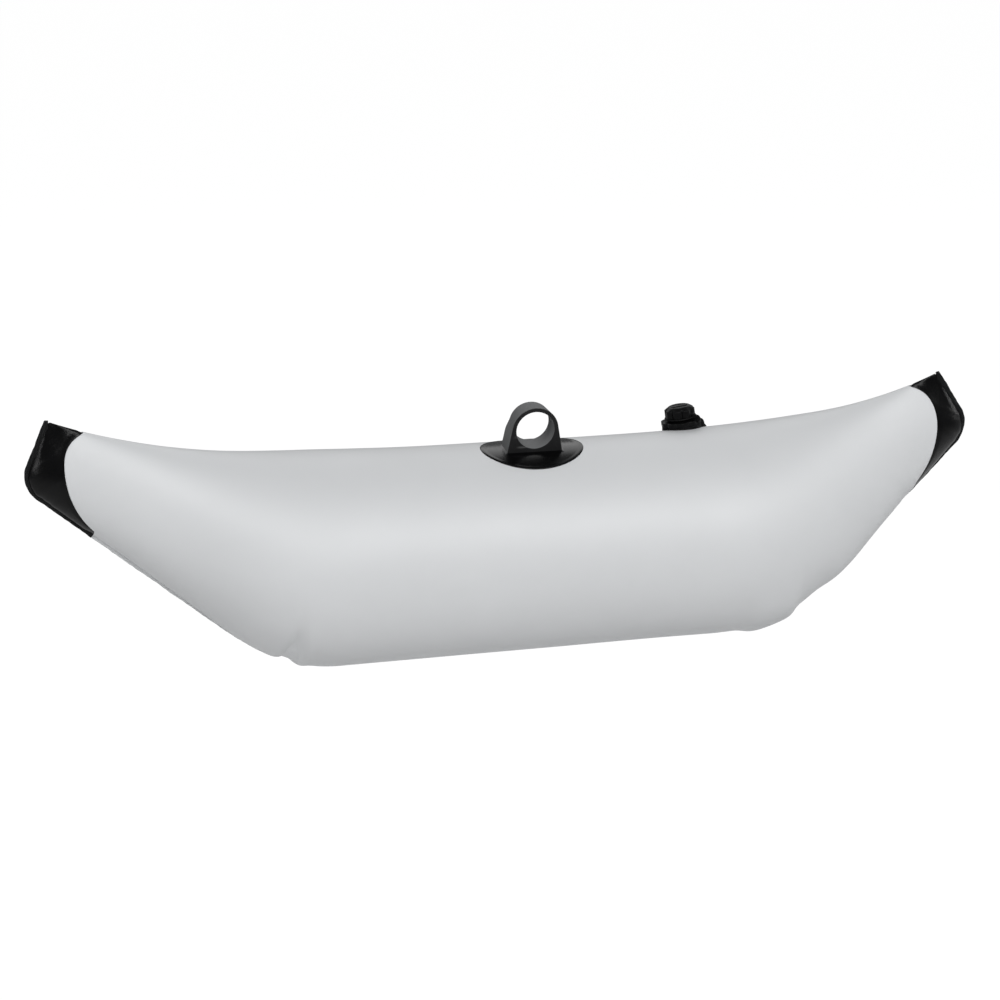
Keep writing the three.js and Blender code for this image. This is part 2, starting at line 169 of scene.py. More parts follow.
@dataclass
class Surface:
    """A closed surface: a grid of points whose columns join up.

    Its first and last rows join as well, or they are shut at two poles. Masks are values for the
    shaders, one for each point of the grid.
    """

    points: Array
    first_pole: Optional[Array] = None
    last_pole: Optional[Array] = None
    masks: dict[str, Array] = field(default_factory=dict)

    @classmethod
    def capped(cls, points: Array, masks: Optional[dict[str, Array]] = None) -> "Surface":
        """A surface shut at the middles of its first and last rows."""
        return cls(points, points[0].mean(axis=0), points[-1].mean(axis=0), masks or {})

    @property
    def wraps(self) -> bool:
        """Whether the last row joins the first."""
        return self.first_pole is None

    def quads(self) -> Array:
        """Faces between neighbouring points.

        Returns:
            Rows of four vertex numbers.
        """
        rows, cols = self.points.shape[:2]
        bands = rows if self.wraps else rows - 1
        i, j = np.meshgrid(np.arange(bands), np.arange(cols), indexing="ij")
        below, beside = (i + 1) % rows, (j + 1) % cols
        faces = [i * cols + j, below * cols + j, below * cols + beside, i * cols + beside]
        return np.stack(faces, axis=-1).reshape(-1, 4)

    def fans(self) -> Array:
        """Triangles that shut the two ends at their poles.

        Returns:
            Rows of three vertex numbers, none if the surface wraps.
        """
        rows, cols = self.points.shape[:2]
        if self.wraps:
            return np.zeros((0, 3), dtype=int)
        j = np.arange(cols)
        beside = (j + 1) % cols
        first, last = rows * cols, (rows - 1) * cols
        head = np.stack([np.full(cols, first), j, beside], axis=-1)
        tail = np.stack([np.full(cols, first + 1), last + beside, last + j], axis=-1)
        return np.concatenate([head, tail])

    def vertices(self) -> Array:
        """The grid's points, then the two poles."""
        flat = self.points.reshape(-1, 3)
        return flat if self.wraps else np.vstack([flat, self.first_pole, self.last_pole])

    def sign(self) -> int:
        """One if the faces point outwards as listed, and minus one if they must be turned.

        It is the sign of the volume: the sum of a . (b x c) over the triangles.

        Returns:
            One or minus one.
        """
        vertices, quads = self.vertices(), self.quads()
        triangles = np.concatenate([quads[:, [0, 1, 2]], quads[:, [0, 2, 3]], self.fans()])
        a, b, c = (vertices[triangles[:, k]] - vertices[0] for k in range(3))
        return 1 if (a * np.cross(b, c)).sum() > 0 else -1

    def edge_mask(self) -> Array:
        """How far each point stands out of its neighbours' mean, per spacing.

        Returns:
            A mask from 0 to 1, positive on outer edges.
        """
        grid = self.points
        across = [np.roll(grid, shift, axis=1) for shift in (1, -1)]
        if self.wraps:
            along = [np.roll(grid, shift, axis=0) for shift in (1, -1)]
        else:
            padded = np.concatenate([grid[:1], grid, grid[-1:]])
            along = [padded[:-2], padded[2:]]
        around = np.stack(across + along)
        spacing = np.linalg.norm(around - grid, axis=-1).mean(axis=0) + LEAST_GAP
        normal = unit(np.cross(along[1] - along[0], across[1] - across[0])) * self.sign()
        lift = ((grid - around.mean(axis=0)) * normal).sum(axis=-1)
        return np.clip(lift / spacing * EDGE_GAIN, 0, 1)

    def sheet_uv(self) -> Array:
        """The surface's sheet map: distances round and along it, in metres.

        Returns:
            A pair of distances for each corner of each quad.
        """
        wide = np.concatenate([self.points, self.points[:, :1]], axis=1)
        if self.wraps:
            wide = np.concatenate([wide, wide[:1]], axis=0)
        girth = np.linalg.norm(np.diff(wide, axis=1), axis=-1).cumsum(axis=1)
        girth = np.pad(girth, ((0, 0), (1, 0)))
        run = np.linalg.norm(np.diff(wide, axis=0), axis=-1).cumsum(axis=0)
        run = np.pad(run, ((1, 0), (0, 0)))
        spot = np.stack([girth, run], axis=-1)
        corners = [spot[:-1, :-1], spot[1:, :-1], spot[1:, 1:], spot[:-1, 1:]]
        return np.stack(corners, axis=2).reshape(-1, 4, 2)


def linked(name: str, data: ID) -> Object:
    """Makes an object of some data and links it into the scene.

    Args:
        name: the object's name.
        data: its mesh, lamp or camera.

    Returns:
        The object.
    """
    made = bpy.data.objects.new(name, data)
    bpy.context.scene.collection.objects.link(made)
    return made


def make(name: str, surfaces: list[Surface], sharp_degrees: float = 50.0) -> Object:
    """Puts closed surfaces into one new object.

    Args:
        name: the object's name.
        surfaces: its closed shells.
        sharp_degrees: edges that turn more than this are shaded sharp.

    Returns:
        The object, at the origin, with its faces outwards, an edge mask, its own masks and its
        sheet map.
    """
    vertices, faces, maps, counts = [], [], [], []
    for surface in surfaces:
        base = sum(counts)
        order = slice(None, None, surface.sign())
        fans = surface.fans()
        faces += (surface.quads()[:, order] + base).tolist() + (fans[:, order] + base).tolist()
        maps += [surface.sheet_uv()[:, order].reshape(-1, 2), np.zeros((fans.size, 2))]
        vertices.append(surface.vertices())
        counts.append(len(vertices[-1]))
    mesh = bpy.data.meshes.new(name)
    mesh.from_pydata(np.vstack(vertices), [], faces)
    mesh.update()
    mesh.shade_smooth()
    mesh.set_sharp_from_angle(angle=math.radians(sharp_degrees))
    for key in ("edge", *surfaces[0].masks):
        values = [s.edge_mask() if key == "edge" else s.masks[key] for s in surfaces]
        flat = [np.pad(v.ravel(), (0, count - v.size)) for v, count in zip(values, counts)]
        attribute = mesh.attributes.new(key, "FLOAT", "POINT")
        attribute.data.foreach_set("value", np.concatenate(flat).astype(np.float32))
    layer = mesh.uv_layers.new(name="sheet")
    layer.data.foreach_set("uv", np.vstack(maps).astype(np.float32).ravel())
    return linked(name, mesh)


# Shader nodes


def opaque(colour: Colour) -> tuple[float, float, float, float]:
    """A colour with full opacity."""
    return (*colour, 1.0)


class Sketch:
    """A node tree with short calls for adding and joining nodes."""

    def __init__(self, tree: NodeTree) -> None:
        """Keeps the tree to draw in."""
        self.tree = tree

    @classmethod
    def fresh(cls, owner: ID) -> "Sketch":
        """Turns on the nodes of a material or world and empties its tree.

        Args:
            owner: the material or world.

        Returns:
            A sketch of its tree.
        """
        owner.use_nodes = True
        owner.node_tree.nodes.clear()
        return cls(owner.node_tree)

    def feed(self, node: Node, inputs: dict) -> Node:
        """Fills in a node's inputs.

        Args:
            node: the node.
            inputs: by name or number, values to set or sockets to link.

        Returns:
            The node.
        """
        for key, value in inputs.items():
            if isinstance(value, NodeSocket):
                self.tree.links.new(value, node.inputs[key])
            else:
                node.inputs[key].default_value = value
        return node

    def add(self, kind: str, inputs: Optional[dict] = None, **settings: object) -> Node:
        """Adds a node.

        Args:
            kind: the node's type name without its ShaderNode prefix, or a full type name.
            inputs: values or sockets by input name or number.
            settings: the node's own properties.

        Returns:
            The node.
        """
        full = kind if kind.startswith("Node") else "ShaderNode" + kind
        node = self.tree.nodes.new(full)
        for key, value in settings.items():
            setattr(node, key, value)
        return self.feed(node, inputs or {})

    def group(self, tree: NodeTree, inputs: dict) -> NodeOutputs:
        """Places a node group with its inputs; returns its outputs."""
        return self.add("Group", inputs, node_tree=tree).outputs

    def math(self, operation: str, first: object, second: object = 0.0) -> NodeSocket:
        """One step of arithmetic on two values or sockets; returns the result."""
        return self.add("Math", {0: first, 1: second}, operation=operation).outputs[0]

    def spread(
        self, value: object, low: float, high: float, to_low: float = 0.0, to_high: float = 1.0
    ) -> NodeSocket:
        """Maps a value from one range to another, held at both ends; returns the result."""
        ranges = {"From Min": low, "From Max": high, "To Min": to_low, "To Max": to_high}
        return self.add("MapRange", {"Value": value, **ranges}, clamp=True).outputs[0]

    def noise(
        self, place: NodeSocket, scale: object, detail: float, roughness: float = 0.5
    ) -> NodeSocket:
        """Noise of a scale at a place, between 0 and 1; returns its value."""
        inputs = {"Vector": place, "Scale": scale, "Detail": detail, "Roughness": roughness}
        return self.add("TexNoise", inputs).outputs[0]

    def sine(self, distance: NodeSocket, per_metre: object) -> NodeSocket:
        """A sine of a distance with a number of waves a metre: sin(2 pi n d); returns its value."""
        speed = self.math("MULTIPLY", per_metre, 2 * math.pi)
        return self.math("SINE", self.math("MULTIPLY", distance, speed))

    def blend(self, factor: object, first: object, second: object) -> NodeSocket:
        """Mixes two colours by a factor; returns the colour."""
        return self.add("Mix", {0: factor, 6: first, 7: second}, data_type="RGBA").outputs[2]

    def mask(self, name: str) -> NodeSocket:
        """The value of one of the mesh's masks."""
        return self.add("Attribute", attribute_name=name).outputs["Fac"]

    def sheet(self) -> NodeSocket:
        """The mesh's sheet map: distances round and along it, in metres."""
        return self.add("UVMap", uv_map="sheet").outputs[0]


def new_group(
    name: str, numbers: dict[str, float], outputs: list[str]
) -> tuple[Sketch, NodeOutputs, Node]:
    """Starts a shader node group, whose first input is the vector of a place.

    Args:
        name: the group's name.
        numbers: defaults of its other inputs by name.
        outputs: names of its float outputs.

    Returns:
        A sketch of its tree, its inputs' sockets by name, and its output node.
    """
    tree = bpy.data.node_groups.new(name, "ShaderNodeTree")
    tree.interface.new_socket("Vector", in_out="INPUT", socket_type="NodeSocketVector")
    for key, default in numbers.items():
        socket = tree.interface.new_socket(key, in_out="INPUT", socket_type="NodeSocketFloat")
        socket.default_value = default
    for key in outputs:
        tree.interface.new_socket(key, in_out="OUTPUT", socket_type="NodeSocketFloat")
    sketch = Sketch(tree)
    return sketch, sketch.add("NodeGroupInput").outputs, sketch.add("NodeGroupOutput")


def grain_group() -> NodeTree:
    """Fine moulded or coated grain: small cells on a soft ripple, with a slow drift for tone.

    Returns:
        The group, whose height is 0.55 times the distance to the nearest cell plus the ripple.
    """
    numbers = {"Cells per metre": 900.0}
    sketch, source, result = new_group("surface_grain", numbers, ["Height", "Drift"])
    place, cell_share = source["Vector"], 0.55
    cells = sketch.add("TexVoronoi", {"Vector": place, "Scale": source["Cells per metre"]})
    ripple = sketch.noise(place, 240.0, 3.0)
    slow = sketch.noise(place, 14.0, 4.0, roughness=0.55)
    raised = sketch.math("MULTIPLY", cells.outputs["Distance"], cell_share)
    height = sketch.math("ADD", raised, ripple)
    sketch.feed(result, {"Height": height, "Drift": sketch.spread(slow, 0.3, 0.7)})
    return sketch.tree


def weave_group() -> NodeTree:
    """Threads of the cloth inside a coated sheet, showing faintly.

    Returns:
        The group, whose height is the product of two crossed sine waves.
    """
    numbers = {"Threads per metre": 900.0}
    sketch, source, result = new_group("sheet_weave", numbers, ["Height"])
    parts = sketch.add("SeparateXYZ", {"Vector": source["Vector"]}).outputs
    waves = [sketch.sine(parts[axis], source["Threads per metre"]) for axis in ("X", "Y")]
    sketch.feed(result, {"Height": sketch.math("MULTIPLY", *waves)})
    return sketch.tree


def weld_group() -> NodeTree:
    """Slanted ribs pressed into a welded fin by the welding tool, kept to the fin by its mask.

    Returns:
        The group, whose height is a sine of y + 0.8 x, broken up by noise, times the mask.
    """
    numbers = {"Mask": 0.0, "Ribs per metre": 320.0}
    sketch, source, result = new_group("weld_ribs", numbers, ["Height", "Tone"])
    place, slant = source["Vector"], 0.8
    parts = sketch.add("SeparateXYZ", {"Vector": place}).outputs
    slanted = sketch.math("ADD", parts["Y"], sketch.math("MULTIPLY", parts["X"], slant))
    ribs = sketch.spread(sketch.sine(slanted, source["Ribs per metre"]), -0.4, 0.6)
    patchy = sketch.spread(sketch.noise(place, 330.0, 2.0), 0.35, 0.6, to_low=0.35)
    kept = sketch.math("MULTIPLY", sketch.math("MULTIPLY", ribs, patchy), source["Mask"])
    sketch.feed(result, {"Height": kept, "Tone": kept})
    return sketch.tree


def handling_group() -> NodeTree:
    """Marks of handling: broad dull patches and a few thin scuffs.

    Returns:
        The group. Its scuffs are noise drawn out along one axis, kept to the middles of patches.
    """
    sketch, source, result = new_group("handling_marks", {"Size": 9.0}, ["Patches", "Scuffs"])
    place = source["Vector"]
    broad = sketch.noise(place, source["Size"], 5.0)
    drawn = {"Vector": place, "Scale": (0.12, 1.0, 1.0), "Rotation": (0.2, 0.3, 0.5)}
    thin = sketch.noise(sketch.add("Mapping", drawn).outputs[0], 210.0, 2.0)
    lines, where = sketch.spread(thin, 0.64, 0.7), sketch.spread(broad, 0.55, 0.68)
    scuffs = sketch.math("MULTIPLY", lines, where)
    sketch.feed(result, {"Patches": sketch.spread(broad, 0.38, 0.62), "Scuffs": scuffs})
    return sketch.tree


def edge_group() -> NodeTree:
    """Outer edges that take the lighter colour: wear, and on the socket a painted highlight.

    Returns:
        The group, whose output is the edge mask broken up by noise.
    """
    sketch, source, result = new_group("wear_and_highlight_edges", {"Edge": 0.0}, ["Wear and highlight"])
    patchy = sketch.spread(sketch.noise(source["Vector"], 160.0, 4.0), 0.35, 0.65, to_low=0.35)
    sketch.feed(result, {"Wear and highlight": sketch.math("MULTIPLY", source["Edge"], patchy)})
    return sketch.tree


@dataclass
class Groups:
    """The shared node groups, built once."""

    grain: NodeTree = field(default_factory=grain_group)
    weave: NodeTree = field(default_factory=weave_group)
    handling: NodeTree = field(default_factory=handling_group)
    weld: NodeTree = field(default_factory=weld_group)
    edges: NodeTree = field(default_factory=edge_group)


@dataclass(frozen=True)
class Finish:
    """A moulded or coated finish: its colours, its gloss, its grain and its wear.

    On the socket its colours hold a painted shade on two faces and a painted highlight on edges.
    """

    colour: Colour
    # Lighter colour of scuffs and outer edges; on the socket's edges it is partly a painted
    # highlight.
    wear_and_highlight_colour: Colour
    roughness: float
    dull_roughness: float
    grain_cells: float
    grain_depth: float
    # Share of the lighter colour on outer edges: wear, and on the socket a painted highlight.
    edge_wear_and_highlight: float
    weave_depth: float = 0.0
    weave_threads: float = 520.0
    specular: float = 0.5
    drift: float = 0.05
    scuffs: float = 0.35
    rubbed_roughness: float = 0.08
    weld: Optional[Colour] = None
    weld_depth: float = 0.00025
    # Painted shade: a near-black copy of the colour for faces off the band mask, used for the
    # socket's front and back faces.
    faces: Optional[Colour] = None

    def build(self, name: str, groups: Groups) -> Material:
        """Makes the material.

        Args:
            name: the material's name.
            groups: the shared node groups.

        Returns:
            A material whose colour, gloss and relief all vary over the surface.
        """
        material = bpy.data.materials.new(name)
        sketch = Sketch.fresh(material)
        place = sketch.add("TexCoord").outputs["Object"]
        cells = {"Vector": place, "Cells per metre": self.grain_cells}
        grain = sketch.group(groups.grain, cells)
        marks = sketch.group(groups.handling, {"Vector": place})
        edges = {"Vector": place, "Edge": sketch.mask("edge")}
        # Outer edges: a mask for wear, and on the socket for a painted highlight.
        wear_and_highlight_mask = sketch.group(groups.edges, edges)["Wear and highlight"]
        colour = self.tone(sketch, grain["Drift"], marks["Scuffs"], wear_and_highlight_mask)
        dull = sketch.spread(marks["Patches"], 0.0, 1.0, self.roughness, self.dull_roughness)
        rough = sketch.math("ADD", dull, sketch.math("MULTIPLY", wear_and_highlight_mask, self.rubbed_roughness))
        height = sketch.math("MULTIPLY", grain["Height"], self.grain_depth)
        if self.weave_depth:
            threads = {"Vector": sketch.sheet(), "Threads per metre": self.weave_threads}
            weave = sketch.group(groups.weave, threads)["Height"]
            height = sketch.math("ADD", height, sketch.math("MULTIPLY", weave, self.weave_depth))
        if self.weld:
            fin = {"Vector": sketch.sheet(), "Mask": sketch.mask("weld")}
            ribs = sketch.group(groups.weld, fin)
            pressed = sketch.math("MULTIPLY", ribs["Height"], self.weld_depth)
            height = sketch.math("ADD", height, pressed)
            colour = sketch.blend(ribs["Tone"], colour, opaque(self.weld))
        bump = sketch.add("Bump", {"Height": height, "Strength": 1.0, "Distance": 1.0})
        surface = {
            "Base Color": colour,
            "Roughness": rough,
            "Specular IOR Level": self.specular,
            "Normal": bump.outputs[0],
        }
        shader = sketch.add("BsdfPrincipled", surface)
        sketch.add("OutputMaterial", {0: shader.outputs[0]})
        return material

    def tone(
        self, sketch: Sketch, drift: NodeSocket, scuffs: NodeSocket, wear_and_highlight_mask: NodeSocket
    ) -> NodeSocket:
        """Draws the colour: the finish's own, drifting, with a painted shade on faces off the band
        mask, then its scuffs and its edges lightened for wear and for a painted highlight.

        Args:
            sketch: the material's tree.
            drift: slow change of tone, from 0 to 1.
            scuffs: mask of the scuffs.
            wear_and_highlight_mask: mask of the outer edges, lightened for wear and a painted
                highlight.

        Returns:
            The colour.
        """
        wear_and_highlight_colour = opaque(self.wear_and_highlight_colour)
        own = sketch.blend(drift, self.shade(1 - self.drift), self.shade(1 + self.drift))
        # Painted shade: where the band mask is 0, on the socket's front and back faces, the colour
        # is swapped for the darker one.
        if self.faces:
            own = sketch.blend(sketch.mask("band"), opaque(self.faces), own)
        scuffed = sketch.blend(sketch.math("MULTIPLY", scuffs, self.scuffs), own, wear_and_highlight_colour)
        # Outer edges take the lighter colour: wear, and on the socket a painted highlight along
        # them.
        return sketch.blend(sketch.math("MULTIPLY", wear_and_highlight_mask, self.edge_wear_and_highlight), scuffed, wear_and_highlight_colour)

    def shade(self, factor: float) -> tuple[float, float, float, float]:
        """The finish's colour made darker or lighter by a factor."""
        return (*(min(channel * factor, 1.0) for channel in self.colour), 1.0)


FINISHES: dict[Slot, Finish] = {
    Slot.GREY_VINYL: Finish(
        colour=(0.635, 0.645, 0.655),
        wear_and_highlight_colour=(0.70, 0.705, 0.71),
        roughness=0.53,
        dull_roughness=0.58,
        grain_cells=700.0,
        grain_depth=0.00002,
        edge_wear_and_highlight=0.2,
        weave_depth=0.000012,
        specular=0.85,
        drift=0.012,
        scuffs=0.12,
        weld=(0.7, 0.71, 0.72),
        weld_depth=0.0002,
    ),
    Slot.BLACK_VINYL: Finish(
        colour=JET,
        wear_and_highlight_colour=(0.02, 0.02, 0.021),
        roughness=0.17,
        dull_roughness=0.25,
        grain_cells=700.0,
        grain_depth=0.000025,
        edge_wear_and_highlight=0.3,
        weave_depth=0.000012,
        specular=0.17,
        weld=(0.025, 0.0255, 0.0265),
        weld_depth=0.0005,
    ),
    Slot.GLOSS_RUBBER: Finish(
        colour=JET,
        wear_and_highlight_colour=(0.015, 0.015, 0.016),
        roughness=0.16,
        dull_roughness=0.24,
        grain_cells=900.0,
        grain_depth=0.00001,
        edge_wear_and_highlight=0.2,
        specular=0.2,
    ),
    Slot.SOCKET_RUBBER: Finish(
        colour=(0.15, 0.153, 0.155),
        # Painted highlight: at an edge share of 0.7 this light grey lines the socket's outer edges,
        # the bore's lower rim among them, besides its wear.
        wear_and_highlight_colour=(0.26, 0.26, 0.26),
        roughness=0.62,
        dull_roughness=0.75,
        grain_cells=1300.0,
        grain_depth=0.00005,
        edge_wear_and_highlight=0.7,
        specular=0.15,
        # Painted shade: the socket's front and back faces, near black beside the grey of its walls.
        faces=(0.009, 0.009, 0.0095),
    ),
    Slot.VALVE_PLASTIC: Finish(
        colour=JET,
        wear_and_highlight_colour=(0.05, 0.05, 0.05),
        roughness=0.28,
        dull_roughness=0.38,
        grain_cells=1500.0,
        grain_depth=0.00003,
        edge_wear_and_highlight=0.45,
        specular=0.12,
    ),
    Slot.SOFT_RUBBER: Finish(
        colour=(0.012, 0.012, 0.0125),
        wear_and_highlight_colour=(0.05, 0.05, 0.05),
        roughness=0.7,
        dull_roughness=0.8,
        grain_cells=1500.0,
        grain_depth=0.00003,
        edge_wear_and_highlight=0.2,
        specular=0.3,
    ),
    Slot.TETHER_RUBBER: Finish(
        colour=(0.004, 0.004, 0.0042),
        wear_and_highlight_colour=(0.03, 0.03, 0.03),
        roughness=0.5,
        dull_roughness=0.62,
        grain_cells=1500.0,
        grain_depth=0.00003,
        edge_wear_and_highlight=0.25,
        specular=0.16,
    ),
}


class Wardrobe:
    """Builds each finish once and dresses pieces in it."""

    def __init__(self) -> None:
        """Builds the shared groups."""
        self.groups = Groups()
        self.made: dict[Slot, Material] = {}

    def material(self, slot: Slot) -> Material:
        """The material of a slot, made the first time it is asked for.

        Args:
            slot: the record's material slot.

        Returns:
            The material.
        """
        if slot not in self.made:
            self.made[slot] = FINISHES[slot].build(slot.value, self.groups)
        return self.made[slot]

    def dress(self, piece: Object, slot: Slot, rider: Optional[Rider], *nodes: str) -> Object:
        """Gives a piece its finish and its place in the assembly.

        Args:
            piece: the object.
            slot: the record's material slot.
            rider: the body it moves with, or None where it is joined to two bodies by its maker.
            nodes: the CAD nodes that it stands for.

        Returns:
            The object.
        """
        piece.data.materials.clear()
        piece.data.materials.append(self.material(slot))
        if rider is not None:
            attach(piece, rider.value)
        if nodes:
            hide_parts(*nodes)
        LOG.info("%s: %d faces, %s", piece.name, len(piece.data.polygons), slot.value)
        return piece


# The float


@dataclass(frozen=True)
class EndForm:
    """Side-view sizes of one end of the float, in millimetres from the bore."""

    toward: int
    tip: tuple[float, float]
    nose: tuple[float, float]
    nose_radius: float
    keel: tuple[float, float]
    keel_radius: float
    ridge_power: float
    joint: tuple[float, float]
    joint_shoulder: tuple[float, float]
    joint_radius: float
    joint_foot: float
    shoulder_power: float = 0.83
    shoulder_turn: float = math.radians(80)

    def place(self, point: tuple[float, float]) -> Array:
        """A (reach, height) pair as a side-view point in metres."""
        return np.array([self.toward * point[0], point[1]]) * MM

    def joint_reach(self, height: Array) -> Array:
        """Reach of the line where the grey skin meets the black end.

        Above the furthest point it is a shoulder of width w and rise h: at the share u = z / h its
        reach is less by w (1 - (1 - u^(2/p))^(p/2)). Below, it is an arc of the joint's radius down
        to the foot.

        Args:
            height: heights in metres.

        Returns:
            The reach at each height, in metres.
        """
        reach, level = (value * MM for value in self.joint)
        width, rise = (value * MM for value in self.joint_shoulder)
        radius, power = self.joint_radius * MM, self.shoulder_power
        share = np.clip((height - level) / rise, 0, math.sin(self.shoulder_turn) ** power)
        above = reach - width * (1 - (1 - share ** (2 / power)) ** (power / 2))
        drop = np.clip((level - height) / radius, 0, 1)
        below = np.maximum(reach - radius * (1 - np.sqrt(1 - drop**2)), self.joint_foot * MM)
        return np.where(height > level, above, below)


BOW = EndForm(
    toward=-1,
    tip=(455.1, 29.8),
    nose=(479.5, -29.6),
    nose_radius=26,
    keel=(248.4, -227.3),
    keel_radius=148,
    ridge_power=3.4,
    joint=(442.4, -11),
    joint_shoulder=(33.8, 31.5),
    joint_radius=93,
    joint_foot=417.0,
)
STERN = EndForm(
    toward=1,
    tip=(406.8, 30.0),
    nose=(444.7, -25.8),
    nose_radius=26,
    keel=(274.4, -221.6),
    keel_radius=218,
    ridge_power=3.55,
    joint=(405.4, -20),
    joint_shoulder=(34, 39.5),
    joint_radius=95,
    joint_foot=388.0,
)


def fillet_arc(before: Array, corner: Array, after: Array, radius: float, count: int) -> Array:
    """The round corner of a given radius between two straight edges.

    Its centre is on the bisector, at radius / sin(half the angle between the edges).

    Args:
        before: a point of the first edge.
        corner: where the edges meet.
        after: a point of the second edge.
        radius: the arc's radius.
        count: number of points.

    Returns:
        The arc's points, from the first edge to the second.
    """
    back, ahead = unit(before - corner), unit(after - corner)
    half = math.acos(float(np.clip(back @ ahead, -1, 1))) / 2
    centre = corner + unit(back + ahead) * radius / math.sin(half)
    start = corner + back * radius / math.tan(half) - centre
    stop = corner + ahead * radius / math.tan(half) - centre
    share = np.linspace(0, 1, count)[:, None]
    return centre + unit(between(start, stop, share)) * radius


@dataclass(frozen=True)
class FloatForm:
    """The inflated float as a function of a place along it and an angle round it.

    The place runs 0 to 1 over the bow, 1 to 2 over the middle and 2 to 3 over the stern. At each
    place a section joins a ridge point T to a seam point S. With c = |S - T| and fullness q, a
    point of it is T + (S - T)(1 - cos a)/2, moved sideways by (c/2) q |sin a|^p with
    p = 1 + 0.6 (1 - q)(1 - cos a)/2.
    """

    bow: EndForm = BOW
    stern: EndForm = STERN
    ridge_drop: float = 22.3
    fill_power: float = 0.7
    seam_sharpness: float = 0.6
    seam_runs: tuple[float, ...] = (0.0, 0.36, 0.68, 1.02)
    arc_points: int = 400
    halvings: int = 40
    least_chord: float = 1e-9

    def seam_path(self, end: EndForm, other: EndForm) -> Array:
        """The seam seen from the side, from one tip round its nose to the end of the keel's bend.

        Args:
            end: the end that it belongs to.
            other: the other end, towards which the keel runs.

        Returns:
            Its points as (x, height) rows.
        """
        tip, nose, keel = end.place(end.tip), end.place(end.nose), end.place(end.keel)
        far, count = other.place(other.keel), self.arc_points
        nose_arc = fillet_arc(tip, nose, keel, end.nose_radius * MM, count)
        keel_arc = fillet_arc(nose, keel, far, end.keel_radius * MM, count)
        share = np.linspace(0, 1, count)[1:-1, None]
        stem = between(tip, nose_arc[0], share)
        slant = between(nose_arc[-1], keel_arc[0], share)
        return np.vstack([tip[None], stem, nose_arc, slant, keel_arc])

    def seam_at(self, end: EndForm, other: EndForm, share: Array) -> Array:
        """Seam points of one end, by linear steps along its path.

        Args:
            end: the end.
            other: the other end.
            share: shares of the path's length, 0 at the tip and 1 at the end of the bend.

        Returns:
            The (x, height) point at each share.
        """
        path = self.seam_path(end, other)
        gaps = np.linalg.norm(np.diff(path, axis=0), axis=1)
        length = np.concatenate([[0], np.cumsum(gaps)])
        wanted = share * length[-1]
        return np.stack([np.interp(wanted, length, path[:, k]) for k in range(2)], axis=-1)

    def keel_ends(self) -> tuple[Array, Array]:
        """Seam points at the two ends of the keel's straight stretch, the bow's first."""
        whole = np.array(1.0)
        return self.seam_at(self.bow, self.stern, whole), self.seam_at(self.stern, self.bow, whole)

    def seam_run(self, place: Array) -> Array:
        """Rough distance along the seam at each place, in metres."""
        return np.interp(place, range(len(self.seam_runs)), self.seam_runs)

    def ridge_height(self, x: Array) -> Array:
        """Height of the ridge: -d at the bore, rising to each tip by (tip + d)(|x| / reach)^p.

        Args:
            x: places along the float, in metres.

        Returns:
            The height at each.
        """
        drop = self.ridge_drop * MM
        heights = []
        for end in (self.bow, self.stern):
            share = np.abs(x) / (end.tip[0] * MM)
            heights.append((end.tip[1] * MM + drop) * share**end.ridge_power - drop)
        return np.where(x < 0, *heights)

    def lines_at(self, place: Array) -> tuple[Array, Array, Array]:
        """The two lines that the sections join, and how full the sections are.

        The fullness is sin(pi s / 2)^f at the share s of the way in from the nearer tip.

        Args:
            place: places along the float.

        Returns:
            Ridge point, seam point and fullness at each place.
        """
        fore, aft = np.clip(place, 0, 1), np.clip(3 - place, 0, 1)
        fore_seam = self.seam_at(self.bow, self.stern, fore)
        aft_seam = self.seam_at(self.stern, self.bow, aft)
        start, stop = self.keel_ends()
        straight = between(start, stop, np.clip(place - 1, 0, 1)[..., None])
        is_fore, is_aft = place < 1, place > 2
        seam = np.where(is_aft[..., None], aft_seam, straight)
        seam = np.where(is_fore[..., None], fore_seam, seam)
        fore_x = between(-self.bow.tip[0] * MM, start[0], fore)
        aft_x = between(self.stern.tip[0] * MM, stop[0], aft)
        x = np.where(is_fore, fore_x, np.where(is_aft, aft_x, seam[..., 0]))
        ridge = np.stack([x, self.ridge_height(x)], axis=-1)
        fullness = np.sin(np.minimum(fore, aft) * math.pi / 2) ** self.fill_power
        return ridge, seam, fullness

    def point(self, place: Array, angle: Array, grow: Array = 0.0) -> Array:
        """Points of the surface, by the formula above.

        Args:
            place: places along the float.
            angle: angles round it.
            grow: how far each point is moved outwards, in metres.

        Returns:
            The points.
        """
        ridge, seam, fullness = self.lines_at(place)
        chord = np.linalg.norm(seam - ridge, axis=-1, keepdims=True)
        down = (seam - ridge) / np.maximum(chord, self.least_chord)
        share = ((1 - np.cos(angle)) / 2)[..., None]
        extra = down * np.asarray(grow)[..., None]
        spot = ridge - extra + (seam - ridge + 2 * extra) * share
        power = 1 + self.seam_sharpness * (1 - fullness) * share[..., 0]
        width = np.maximum((chord[..., 0] / 2) * fullness + grow, 0)
        side = width * np.abs(np.sin(angle)) ** power * np.sign(np.sin(angle))
        return np.stack([spot[..., 0], side, spot[..., 1]], axis=-1)

    def joint_place(self, end: EndForm, angle: Array) -> Array:
        """Where the grey skin meets a black end, found by halving.

        Args:
            end: the end.
            angle: angles round the float.

        Returns:
            The place at each angle.
        """
        tip, inner = (0.0, 1.0) if end.toward < 0 else (3.0, 2.0)
        low, high = np.full(angle.shape, tip), np.full(angle.shape, inner)
        for _ in range(self.halvings):
            middle = (low + high) / 2
            spot = self.point(middle, angle)
            outside = np.abs(spot[..., 0]) > end.joint_reach(spot[..., 2])
            low, high = np.where(outside, middle, low), np.where(outside, high, middle)
        return (low + high) / 2

